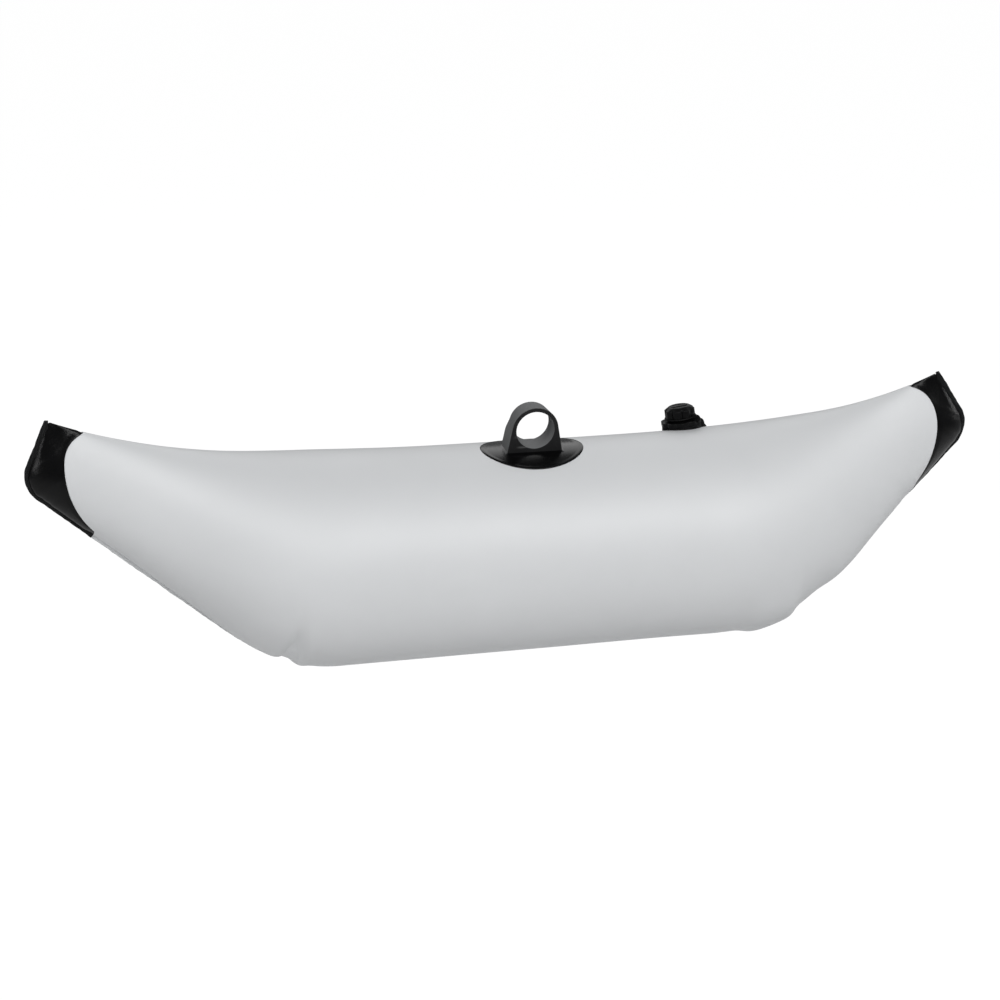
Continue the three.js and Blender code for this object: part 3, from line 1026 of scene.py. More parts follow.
    def tube(self, x: Array) -> tuple[Array, Array]:
        """The tube over the straight stretch of the keel.

        Args:
            x: places along the float, in metres.

        Returns:
            Height of its axis and its radius at each x: half the sum and half the difference of
            the ridge's height and the keel's.
        """
        first, last = self.keel_ends()
        share = (x - first[0]) / (last[0] - first[0])
        keel, ridge = between(first[1], last[1], share), self.ridge_height(x)
        return (ridge + keel) / 2, (ridge - keel) / 2

    def top(self, x: Array, y: Array, lift: Array) -> Array:
        """Points above the tube, at the turn arcsin(y / radius) about its axis.

        Args:
            x: places along the float, in metres.
            y: places across it.
            lift: how far each point is off the tube.

        Returns:
            The points.
        """
        axis, radius = self.tube(x)
        turn = np.arcsin(np.clip(y / radius, -1, 1))
        far = radius + lift
        return np.stack([x, far * np.sin(turn), axis + far * np.cos(turn)], axis=-1)


@dataclass
class Waves:
    """A wandering line with seeded phases: the sum of a_k cos(2 pi s / p_k + phase_k), scaled."""

    seed: int
    shortest: float
    longest: float
    count: int = 7
    least_size: float = 0.5
    gain: float = 1.6

    def at(self, run: Array) -> Array:
        """Heights of the line.

        Args:
            run: distances along it.

        Returns:
            The height at each, between about minus one and one.
        """
        draw = np.random.default_rng(self.seed)
        periods = np.geomspace(self.shortest, self.longest, self.count)
        phases = draw.uniform(0, 2 * math.pi, self.count)
        sizes = draw.uniform(self.least_size, 1.0, self.count)
        waves = sizes * np.cos(2 * math.pi * np.asarray(run)[..., None] / periods + phases)
        return waves.sum(axis=-1) / sizes.sum() * self.gain


@dataclass
class KeelFolds:
    """Where the sheets buckle at the keel's two corners: heights in metres by place along it.

    At the bow's corner a narrow nick runs in beside a low ridge. At the stern's corner the belly
    stands out in a shelf that ends in a sharp kink, with a shallow hollow beyond it and a low swell
    up the slant, which has a dip where the black end begins. Each bell is a height, a place and a
    width, and each step is a place and a width.
    """

    nick: tuple[float, float, float] = (-5.2 * MM, 0.872, 0.017)
    ridge: tuple[float, float, float] = (1.5 * MM, 0.908, 0.014)
    hollow: tuple[float, float, float] = (-2.6 * MM, 2.29, 0.045)
    slant: tuple[float, float, float] = (1.5 * MM, 2.65, 0.13)
    notch: tuple[float, float, float] = (-1.4 * MM, 2.618, 0.022)
    shelf: float = 6.1 * MM
    shelf_start: tuple[float, float] = (2.085, 0.022)
    shelf_stop: tuple[float, float] = (2.212, 0.011)
    side: tuple[float, float] = (2.05, 0.22)
    seam_share: float = 0.55
    seam_from: float = 2.75

    def height(self, place: Array) -> Array:
        """Sum of the bells a exp(-((place - c) / w)^2) and the shelf.

        Args:
            place: places along the float.

        Returns:
            The height at each.
        """
        total = self.shelf * step(place, *self.shelf_start) * (1 - step(place, *self.shelf_stop))
        for size, middle, width in (self.nick, self.ridge, self.hollow, self.slant, self.notch):
            total = total + size * bell(place, middle, width)
        return total

    def window(self, angle: Array) -> Array:
        """How much of the height each angle takes: none on the sides, all below, less at the seam.

        Args:
            angle: angles round the float.

        Returns:
            The share at each.
        """
        far = np.abs(signed(angle))
        to_seam = np.clip((far - self.seam_from) / (math.pi - self.seam_from), 0, 1)
        return step(far, *self.side) * (1 - (1 - self.seam_share) * to_seam)


@dataclass
class SheetRelief:
    """How far the sheets stand off the smooth form: sizes in metres, and periods of their waves."""

    form: FloatForm = field(default_factory=FloatForm)
    folds: KeelFolds = field(default_factory=KeelFolds)
    pinch: float = 1.1 * MM
    pinch_reach: float = 2.6 * MM
    pucker: float = 0.55 * MM
    pucker_floor: float = 0.25
    pucker_reach: float = 16 * MM
    pucker_start: float = 2 * MM
    pucker_periods: tuple[float, float] = (0.008, 0.05)
    pucker_seeds: tuple[int, int] = (5, 9)
    bend_places: tuple[float, ...] = (0.19, 0.78, 2.22, 2.83)
    bend_widths: tuple[float, ...] = (0.05, 0.13, 0.15, 0.05)
    swell: float = 0.25 * MM
    swell_start: float = 0.03
    swell_swing: float = 0.11
    swell_periods: tuple[float, float] = (0.12, 0.6)
    swell_seed: int = 3
    crest_places: tuple[float, ...] = (0.0, 0.25, 0.4, 0.62, 0.85, 1.1, 2.15, 2.4, 2.8, 2.95)
    crest_heights: tuple[float, ...] = (1.5, 0.6, -0.5, -1.5, -1.2, 0.2, 0.0, 0.9, 0.8, 1.9)
    crest_width: float = 0.75
    shoulder: float = 1.5 * MM
    shoulder_reach: float = 7.0 * MM
    shoulder_zone: tuple[float, float] = (0.36, 0.04)

    def bend(self, place: Array) -> Array:
        """How near each place is to the noses and the keel's corners: a sum of bells."""
        return bell(place[..., None], np.array(self.bend_places), self.bend_widths).sum(axis=-1)

    def height(self, place: Array, angle: Array) -> Array:
        """The relief's height.

        With d the distance to the seam, the sheet is drawn up to the fin by pinch exp(-d / 2.6 mm).
        Puckers run off the seam with height pucker (0.25 + bend) exp(-d / 16 mm) times a wandering
        line, and a broad slow swell of a few tenths of a millimetre covers the whole sheet. The
        keel's corners have their folds, and the crest rises and dips by a table of heights, times
        exp(-(a / w)^2). Each black end swells beside its fin by shoulder (d / r) exp(1 - d / r).

        Args:
            place: places along the float.
            angle: angles round it.

        Returns:
            The height at each point, in metres.
        """
        ridge, seam, fullness = self.form.lines_at(place)
        chord = np.linalg.norm(seam - ridge, axis=-1)
        share = (1 - np.cos(angle)) / 2
        away = np.hypot(chord * (1 - share), chord / 2 * fullness * np.sin(angle))
        run = self.form.seam_run(place)
        drawn = self.pinch * fullness * np.exp(-away / self.pinch_reach)
        lines = [Waves(seed, *self.pucker_periods).at(run) for seed in self.pucker_seeds]
        fade = np.exp(-away / self.pucker_reach)
        puckers = self.pucker * (self.pucker_floor + self.bend(place)) * fade
        puckers = puckers * np.where(np.sin(angle) > 0, *lines)
        puckers = puckers * np.clip(away / self.pucker_start, 0, 1)
        slanting = run + self.swell_swing * np.cos(angle)
        swell = self.swell * Waves(self.swell_seed, *self.swell_periods).at(slanting)
        swell = swell * np.clip(away / self.swell_start, 0, 1)
        crest = np.interp(place, self.crest_places, self.crest_heights) * MM
        crest = crest * bell(signed(angle), 0, self.crest_width)
        buckled = self.folds.height(place) * self.folds.window(angle)
        near_tip = 1 - step(np.minimum(place, 3 - place), *self.shoulder_zone)
        from_fin = away / self.shoulder_reach
        shoulder = self.shoulder * near_tip * from_fin * np.exp(1 - from_fin) * share**2
        return drawn + puckers + (swell + crest) + buckled + shoulder


@dataclass
class WeldFin:
    """The flat band along the seam where the sheets are welded together, with a rounded lip."""

    form: FloatForm = field(default_factory=FloatForm)
    folds: KeelFolds = field(default_factory=KeelFolds)
    width: float = 4.3 * MM
    root: float = 3.0 * MM
    half: float = 0.85 * MM
    lip_share: float = 0.8
    corner_points: int = 5
    swing: float = 0.3 * MM
    swing_periods: tuple[float, float] = (0.006, 0.06)
    sway: float = 0.45 * MM
    sway_periods: tuple[float, float] = (0.02, 0.09)
    rib_gain: float = 3.0
    tip_taper: float = 0.003
    least_taper: float = 0.02
    tip_zone: float = 0.02
    tip_reach: float = 2.4 * MM

    def section(self) -> Array:
        """The section: its corners are (-root, -h), (width, -0.8 h), (width, 0.8 h), (-root, h).

        Returns:
            Points of (reach, side), with three more on the first and third of its sides.
        """
        half, thin, per = self.half, self.half * self.lip_share, self.corner_points
        reach = (-self.root, self.width, self.width, -self.root)
        line = np.column_stack([reach, (-half, -thin, thin, half)])
        line = rounded(line, thin, per, closed=True)
        share = np.linspace(0, 1, per)[1:-1, None]
        near, far = (between(line[k - 1], line[k], share) for k in (per, 3 * per))
        return np.vstack([line[:per], near, line[per : 3 * per], far, line[3 * per :]])

    def stretch(self, start: float, stop: float, rows: int, seed: int) -> Surface:
        """A stretch of the fin: its section, carried along the seam in the seam's normal and y.

        The lip wanders by a few tenths of a millimetre both ways, and at a tip of the float it
        reaches a little past the seam, in a peak, while the root narrows to nothing.

        Args:
            start: place where it begins.
            stop: place where it ends.
            rows: sections along it.
            seed: for the lip's wandering.

        Returns:
            The surface.
        """
        place = np.linspace(start, stop, rows)
        _, seam, _ = self.form.lines_at(place)
        along = unit(np.gradient(seam, axis=0))
        outward = np.stack([along[:, 1], -along[:, 0]], axis=-1)
        run = self.form.seam_run(place)[:, None]
        swing = Waves(seed, *self.swing_periods).at(run)
        sway = Waves(seed + 1, *self.sway_periods).at(run)
        section = self.section()
        share = np.clip(section[:, 0] / self.width, 0, 1)[None]
        before, beyond = (np.clip(1 - gap / self.tip_zone, 0, 1) for gap in (place, 3 - place))
        past = before - beyond
        from_tip = np.minimum(np.abs(place), np.abs(3 - place)) / self.tip_taper
        taper = np.sqrt(1 - (1 - np.clip(from_tip, self.least_taper, 1)) ** 2)[:, None]
        buckled = (self.folds.height(place) * self.folds.seam_share)[:, None]
        reach = section[None, :, 0] + share * self.swing * swing
        reach = reach * np.where(reach > 0, taper, 1 - np.abs(past)[:, None]) + buckled
        side = section[None, :, 1] + share**2 * self.sway * sway
        peak = -along[:, None] * (self.tip_reach * past)[:, None, None] * share[..., None]
        spots = seam[:, None] + outward[:, None] * reach[..., None] + peak
        points = np.stack([spots[..., 0], side, spots[..., 1]], axis=-1)
        ribbed = np.broadcast_to(np.clip(share * self.rib_gain, 0, 1), side.shape)
        return Surface.capped(points, {"weld": ribbed})


@dataclass
class FloatShell:
    """The float's sheets: the grey skin, the two black ends and the weld fin along the seam."""

    form: FloatForm = field(default_factory=FloatForm)
    rows: int = 420
    cols: int = 168
    inner_rows: int = 40
    seam_crowding: float = 0.35
    sheet: float = 1.0 * MM
    edge_shares: tuple[float, ...] = (0.22, 0.5, 0.78)
    end_rows: int = 80
    end_crowding: float = 0.85
    end_inner_rows: int = 12
    end_inner_reach: float = 0.72
    lap: float = 0.02
    lap_blend: float = 0.03
    under: float = 1.15 * MM
    least_sink: float = 0.1 * MM

    def __post_init__(self) -> None:
        """Sets the relief and the fin on the same form and folds."""
        self.relief = SheetRelief(self.form)
        self.fin = WeldFin(self.form, self.relief.folds)

    def angles(self) -> Array:
        """Angles round a section, from the ridge at 0, closer together near the seam at pi."""
        turn = turns(self.cols)
        return (turn + self.seam_crowding * np.sin(turn))[None]

    def strip(self, start: Array, stop: Array, share: Array) -> tuple[Array, Array]:
        """Places and angles of rows at shares of the way between two lines round the float."""
        place = between(start, stop, share)
        return place, np.broadcast_to(self.angles(), place.shape)

    def skin(self) -> Surface:
        """The grey sheet: its outside from joint to joint, its cut edges and its inside.

        A row is v in [0, 1], at the place start(a) (1 - v) + stop(a) v between the two joints.

        Returns:
            The surface.
        """
        ends = (self.form.bow, self.form.stern)
        start, stop = (self.form.joint_place(end, self.angles()) for end in ends)
        place, angle = self.strip(start, stop, np.linspace(0, 1, self.rows)[:, None])
        outside = self.form.point(place, angle, self.relief.height(place, angle))
        place, angle = self.strip(start, stop, np.linspace(1, 0, self.inner_rows)[:, None])
        inner = self.form.point(place, angle, self.relief.height(place, angle) - self.sheet)
        edge = self.rolled_edge(outside[-2:], inner[:1])
        other = self.rolled_edge(outside[1::-1], inner[-1:])[::-1]
        return Surface(np.concatenate([outside, edge, inner, other]))

    def rolled_edge(self, outside: Array, inside: Array) -> Array:
        """Rows that turn a sheet's outside into its inside: a half round of the sheet's thickness.

        At the share s of the way in, a row stands out by the radius times sqrt(1 - (2 s - 1)^2).

        Args:
            outside: the last two rows of the outside.
            inside: the first row of the inside.

        Returns:
            The rows between them.
        """
        ahead = unit(outside[1] - outside[0])
        reach = np.linalg.norm(outside[1] - inside[0], axis=-1, keepdims=True) / 2
        shares = np.array(self.edge_shares)[:, None, None]
        swing = np.sqrt(1 - (2 * shares - 1) ** 2)
        return between(outside[1], inside[0], shares) + ahead * reach * swing

    def black_end(self, end: EndForm) -> Surface:
        """One black end: its inside, and its outside from under the skin to the tip.

        Args:
            end: which end.

        Returns:
            The surface, shut at a pole inside and at the tip.
        """
        tip, inward = (0.0, 1) if end.toward < 0 else (3.0, -1)
        joint = self.form.joint_place(end, self.angles())
        lap = joint + inward * self.lap
        share = (np.arange(self.end_rows) / self.end_rows)[:, None] ** self.end_crowding
        place, angle = self.strip(lap, tip, share)
        clear = np.clip((joint - place) * inward / self.lap_blend, 0, 1)
        sink = self.under * (1 - smooth(clear)) + self.least_sink
        outside = self.form.point(place, angle, self.relief.height(place, angle) - sink)
        share = np.linspace(self.end_inner_reach, 0, self.end_inner_rows)[:, None]
        inner = self.form.point(*self.strip(lap, tip, share), -self.under - self.sheet)
        pole = self.form.point(np.array([tip]), np.array([0.0]), np.array([0.0]))
        return Surface(np.concatenate([inner, outside]), inner[0].mean(axis=0), pole[0])

    def build(self, wardrobe: Wardrobe) -> None:
        """Makes the float's pieces and dresses them.

        Args:
            wardrobe: finishes for the pieces.
        """
        seam, form, fin = np.array([math.pi]), self.form, self.fin
        fore, aft = (float(form.joint_place(end, seam)[0]) for end in (form.bow, form.stern))
        grey, black = Slot.GREY_VINYL, Slot.BLACK_VINYL
        pieces = [
            ("grey_skin", grey, self.skin(), "float_skin"),
            ("black_bow", black, self.black_end(form.bow), "bow_end"),
            ("black_stern", black, self.black_end(form.stern), "stern_end"),
            ("keel_fin", grey, fin.stretch(fore, aft, rows=700, seed=21), "float_skin"),
            ("bow_fin", black, fin.stretch(0.0, fore, rows=200, seed=31), "bow_end"),
            ("stern_fin", black, fin.stretch(aft, 3.0, rows=200, seed=41), "stern_end"),
        ]
        for name, slot, surface, node in pieces:
            wardrobe.dress(make(name, [surface]), slot, Rider.FLOAT, node)


# The mount on the ridge


@dataclass
class ArmMount:
    """The oval flange welded on the ridge and the arched socket moulded on it.

    Shares of the flange are shares of the way out to its rim, and the tables of its heights are in
    millimetres.
    """

    form: FloatForm = field(default_factory=FloatForm)
    cols: int = 200
    flange_half_length: float = 50.0 * MM
    flange_half_girth: float = 37.6 * MM
    flange_height: float = 0.7 * MM
    flat_shares: tuple[float, float] = (0.03, 0.88)
    flat_rows: int = 44
    rim_shares: tuple[float, ...] = (0.9, 0.92, 0.94, 0.96, 0.975, 0.987, 0.996, 1.0)
    rim_heights: tuple[float, ...] = (0.02, 0.12, 0.24, 0.3, 0.26, 0.1, -0.1, -0.32)
    under_shares: tuple[float, ...] = (1.0, 0.996, 0.99, 0.7, 0.3, 0.05)
    under_heights: tuple[float, ...] = (0.15, 0.05, -0.3, -0.3, -0.3, -0.3)
    collar: float = 0.5 * MM
    collar_reach: float = 1.4 * MM
    collar_share: float = 0.965
    bore: float = 18.5 * MM
    arch: float = 22.5 * MM
    half_depth: float = 12.0 * MM
    foot_half: float = 27.2 * MM
    foot_drop: float = 23.5 * MM
    arc_points: int = 110
    leg_points: int = 25
    band: float = 10 * MM
    edge: float = 0.45 * MM
    edge_points: int = 6
    wall_points: int = 8
    wall_fade: float = 0.4 * MM
    back_taper: float = 2.3 * MM
    taper_span: float = 0.6

    def flange(self) -> Surface:
        """The oval flange, following the tube.

        At share s of the way out and angle a it lies over x = A s cos a, y = B s sin a, at the
        height of its profile: flat, a low bead near the rim, a rounded rim, and its underside. A
        collar of 0.5 exp(-(d / 1.4 mm)^2) mm rises at the distance d from the socket's foot.

        Returns:
            The surface.
        """
        turn, top = turns(self.cols), self.flange_height
        flat = np.linspace(*self.flat_shares, self.flat_rows)
        shares = np.concatenate([flat, self.rim_shares, self.under_shares])[:, None]
        rim, under = np.array(self.rim_heights) * MM + top, np.array(self.under_heights) * MM
        heights = np.concatenate([np.full(len(flat), top), rim, under])[:, None]
        x = self.flange_half_length * shares * np.cos(turn)
        y = self.flange_half_girth * shares * np.sin(turn)
        past_foot = np.maximum(np.abs(x) - self.foot_half * self.collar_share, 0)
        past_face = np.maximum(np.abs(y) - self.half_depth, 0)
        above = np.arange(len(shares))[:, None] < len(flat) + len(rim)
        near = bell(np.hypot(past_foot, past_face), 0, self.collar_reach) * above
        points = self.form.top(x, y, heights + self.collar * near)
        middle, lifts = np.zeros(1), (top + self.collar, under[-1])
        return Surface(points, *(self.form.top(middle, middle, lift)[0] for lift in lifts))

    def outline(self) -> Array:
        """The socket seen along the bore: an arc, two straight legs to the foot, and a base.

        The legs touch the arc at the lean acos(r / |foot|) - atan(drop / half) above the level.

        Returns:
            Points of (x, height) round it.
        """
        slope = math.atan2(self.foot_drop, self.foot_half)
        lean = math.acos(self.arch / math.hypot(self.foot_half, self.foot_drop)) - slope
        turn = np.linspace(lean, math.pi - lean, self.arc_points)[:, None]
        arc = self.arch * np.hstack([np.cos(turn), np.sin(turn)])
        feet = [np.array([reach, -self.foot_drop]) for reach in (-self.foot_half, self.foot_half)]
        down = np.linspace(0, 1, self.leg_points + 1)[1:, None]
        left, base = between(arc[-1], feet[0], down), between(feet[0], feet[1], down)
        return np.vstack([arc, left, base, between(feet[1], arc[0], down)[:-1]])

    def socket(self) -> Surface:
        """The arched socket: a rounded band carried round the bore.

        Each column runs along one ray from the bore's axis. Its corners are the bore's radius and
        the outline's, at the two faces, rounded by the edge size, with more points on the two
        walls between the faces. The arch thins towards its back. A mask marks the walls; the
        front and back faces off it take a painted shade.

        Returns:
            The surface.
        """
        outline = self.outline()
        far = np.linalg.norm(outline, axis=1)
        ray = outline / far[:, None]
        per, wide, deep = self.edge_points, self.band, self.half_depth
        box = np.array([[0, -deep], [wide, -deep], [wide, deep], [0, deep]])
        line = rounded(box, self.edge, per, closed=True)
        loop = np.vstack([line, line[:1]])
        more, order = np.linspace(0, 1, self.wall_points + 2)[1:-1], np.arange(len(line))
        first, last = order[: 2 * per], order[2 * per :]
        spots = np.concatenate([first, first[-1] + more, last, last[-1] + more])
        across, depth = (np.interp(spots, np.arange(len(loop)), loop[:, k]) for k in range(2))
        outer = (spots >= per) & (spots < 3 * per)
        inset = np.where(outer, across - wide, across)
        upper = np.clip(ray[:, 1] / self.taper_span + 0.5, 0, 1)
        backward = (depth[:, None] + deep) / (2 * deep)
        rim = far[None] - self.back_taper * backward * smooth(upper)[None]
        radius = np.where(outer[:, None], rim, self.bore) + inset[:, None]
        depths = np.broadcast_to(depth[:, None], radius.shape)
        points = np.stack([radius * ray[:, 0], depths, radius * ray[:, 1]], axis=-1)
        # The walls keep the finish's colour; the front and back faces outside this mask take a
        # painted shade.
        walls = np.clip((deep - np.abs(depths)) / self.wall_fade, 0, 1)
        return Surface(points, masks={"band": walls})

    def build(self, wardrobe: Wardrobe) -> None:
        """Makes the flange and the socket and dresses them.

        Args:
            wardrobe: finishes for the pieces.
        """
        flange = make("ridge_flange", [self.flange()])
        wardrobe.dress(flange, Slot.GLOSS_RUBBER, Rider.FLOAT, "mount_flange")
        socket = make("arched_socket", [self.socket()])
        wardrobe.dress(socket, Slot.SOCKET_RUBBER, Rider.FLOAT, "arm_socket")


# The valve


@dataclass(frozen=True)
class Lobes:
    """Scallops round a turned piece, in millimetres.

    At angle a they take depth (1 - |cos(n a / 2)|^0.7) off the radius r, times the square of the
    share (r - low) / blend, held between 0 and 1.
    """

    count: int
    depth: float
    turn: float
    low: float
    blend: float
    power: float = 0.7

    def at(self, radius: Array, angle: Array) -> Array:
        """Change of radius at each radius and angle."""
        wave = np.abs(np.cos(self.count * (angle - self.turn) / 2))
        share = np.clip((radius - self.low) / self.blend, 0, 1) ** 2
        return share * (-self.depth * (1 - wave**self.power))


@dataclass(frozen=True)
class Band:
    """A flat ring about the valve's axis, in millimetres, whose top falls outwards."""

    inner: float
    outer: float
    high: float
    low: float
    soften: float
    fall: float = 0.0

    def corners(self) -> list[tuple[float, float]]:
        """Its profile, as (radius, height) corners."""
        inner, outer, high, low = self.inner, self.outer, self.high, self.low
        return [(inner, high), (outer, high - self.fall), (outer, low), (inner, low)]


@dataclass(frozen=True)
class Tether:
    """A strap of the valve, in millimetres.

    Its course is a cubic curve by four control points of (radius, height), turned about the
    valve's axis. It widens at each end by the flare.
    """

    course: tuple[tuple[float, float], ...]
    rows: int
    flare: float
    turn: float = 0.0
    half: tuple[float, float] = (2.5, 0.6)


@dataclass
class ValvePlace:
    """Where the valve stands: the place and axes of its own frame, whose height is outwards."""

    form: FloatForm = field(default_factory=FloatForm)
    reach: float = 162.5 * MM
    turn: float = math.radians(24)
    front_lean: float = math.radians(14)
    bow_lean: float = math.radians(8)

    def matrix(self) -> Matrix:
        """The valve's frame.

        It is turned about X by the lean less the turn, then about its own Y by the bow lean.

        Returns:
            The matrix from the valve's frame to the object's.
        """
        axis, radius = (float(v) for v in self.form.tube(np.array(self.reach)))
        y, z = radius * math.sin(self.turn), axis + radius * math.cos(self.turn)
        front = Matrix.Rotation(self.front_lean - self.turn, 4, "X")
        lean = front @ Matrix.Rotation(-self.bow_lean, 4, "Y")
        return Matrix.Translation(Vector((self.reach, y, z))) @ lean

    def out(self, points: Array) -> Array:
        """Points of the valve's frame, in millimetres, moved to the object's frame."""
        matrix = np.array(self.matrix())
        return (points * MM) @ matrix[:3, :3].T + matrix[:3, 3]

    def turned(self, radius: Array, angle: Array, height: Array) -> Array:
        """Points (r cos a, r sin a, h) about the valve's axis, moved to the object's frame.

        Args:
            radius: distances from the axis, in millimetres.
            angle: turns about it.
            height: heights along it, in millimetres.

        Returns:
            The points, in metres.
        """
        x, y = radius * np.cos(angle), radius * np.sin(angle)
        return self.out(np.stack([x, y, np.broadcast_to(height, x.shape)], axis=-1))


@dataclass
class Turner:
    """Makes turned pieces, bars and straps in the valve's frame, in millimetres."""

    place: ValvePlace
    cols: int = 192
    corner_points: int = 6
    spacing: float = 0.8
    strap_points: int = 5
    strap_round: float = 0.7

    def piece(
        self, corners: list[tuple[float, float]], soften: float, lobes: Optional[Lobes] = None
    ) -> Surface:
        """A profile turned about the valve's axis.

        Args:
            corners: the profile as (radius, height). If it starts and stops at radius 0 it is shut
                at poles, and if not it is a ring.
            soften: radius of its rounded corners.
            lobes: scallops round it.

        Returns:
            The closed surface, in metres in the object's frame.
        """
        profile = np.array(corners)
        ring = profile[0, 0] != 0
        line = self.filled(rounded(profile, soften, self.corner_points, closed=ring), ring)
        poles = []
        if not ring:
            poles = [self.place.out(UP * height) for height in (line[0, 1], line[-1, 1])]
            line = line[1:-1]
        angle = turns(self.cols)
        radius = np.broadcast_to(line[:, :1], (len(line), self.cols))
        if lobes:
            radius = radius + lobes.at(radius, angle)
        return Surface(self.place.turned(radius, angle, line[:, 1:]), *poles)

    def filled(self, line: Array, closed: bool) -> Array:
        """A profile with points added evenly, so that none are further apart than the spacing.

        Args:
            line: its points.
            closed: whether the last point joins the first.

        Returns:
            The points of the filled profile.
        """
        loop = np.vstack([line, line[:1]]) if closed else line
        gaps = np.linalg.norm(np.diff(loop, axis=0), axis=1)
        keep = np.append(gaps > LEAST_GAP, True)
        loop, gaps = loop[keep], gaps[gaps > LEAST_GAP]
        run = np.concatenate([[0], np.cumsum(gaps)])
        counts = np.maximum(np.ceil(gaps / self.spacing).astype(int), 1)
        start = np.repeat(run[:-1], counts)
        index = np.arange(counts.sum()) - np.repeat(np.cumsum(counts) - counts, counts)
        spots = start + index * np.repeat(gaps / counts, counts)
        if not closed:
            spots = np.append(spots, run[-1])
        return np.stack([np.interp(spots, run, loop[:, k]) for k in range(2)], axis=-1)

    def bar(self, start: Array, stop: Array, half: tuple[float, float], rows: int = 2) -> Surface:
        """A straight bar with a rounded section between two points.

        Args:
            start: middle of one end.
            stop: middle of the other end.
            half: half its width and half its height, which is along the valve's axis.
            rows: sections along it.

        Returns:
            The closed surface.
        """
        share = np.linspace(0, 1, rows)[:, None]
        return self.strap(between(start, stop, share), half, UP)

    def strap(
        self, path: Array, half: tuple[float, float], up: Array, flare: float = 0.0
    ) -> Surface:
        """A flat strap carried along a path.

        Its section is a rounded rectangle: its width is along up x path and its height along the
        normal of both. At the share s of the way from the middle to an end it is wider by
        flare s^4, and both ends are shut.

        Args:
            path: points along its middle.
            half: half its width and half its thickness.
            up: a direction that isn't along the path, for its width.
            flare: share by which it widens at each end.

        Returns:
            The closed surface.
        """
        along = unit(np.gradient(path, axis=0))
        across = unit(np.cross(up, along))
        normal = np.cross(along, across)
        box = np.array([[-1, -1], [1, -1], [1, 1], [-1, 1]]) * half
        section = rounded(box, self.strap_round * min(half), self.strap_points, closed=True)[None]
        wide = 1 + flare * np.abs(np.linspace(-1, 1, len(path))) ** 4
        sideways = across[:, None] * (section[..., :1] * wide[:, None, None])
        grid = path[:, None] + sideways + normal[:, None] * section[..., 1:]
        return Surface(self.place.out(grid), self.place.out(path[0]), self.place.out(path[-1]))


def bezier(points: tuple[tuple[float, float], ...], count: int) -> Array:
    """A cubic curve: the sum of its control points times the binomial terms in t and 1 - t.

    Args:
        points: its four control points.
        count: number of points along it.

    Returns:
        The points.
    """
    t = np.linspace(0, 1, count)[:, None]
    terms = [(1 - t) ** 3, 3 * t * (1 - t) ** 2, 3 * t**2 * (1 - t), t**3]
    return sum(term * np.array(point) for term, point in zip(terms, points))


def ray(angle: float) -> Array:
    """The level direction at an angle about the axis."""
    return np.array([math.cos(angle), math.sin(angle), 0.0])


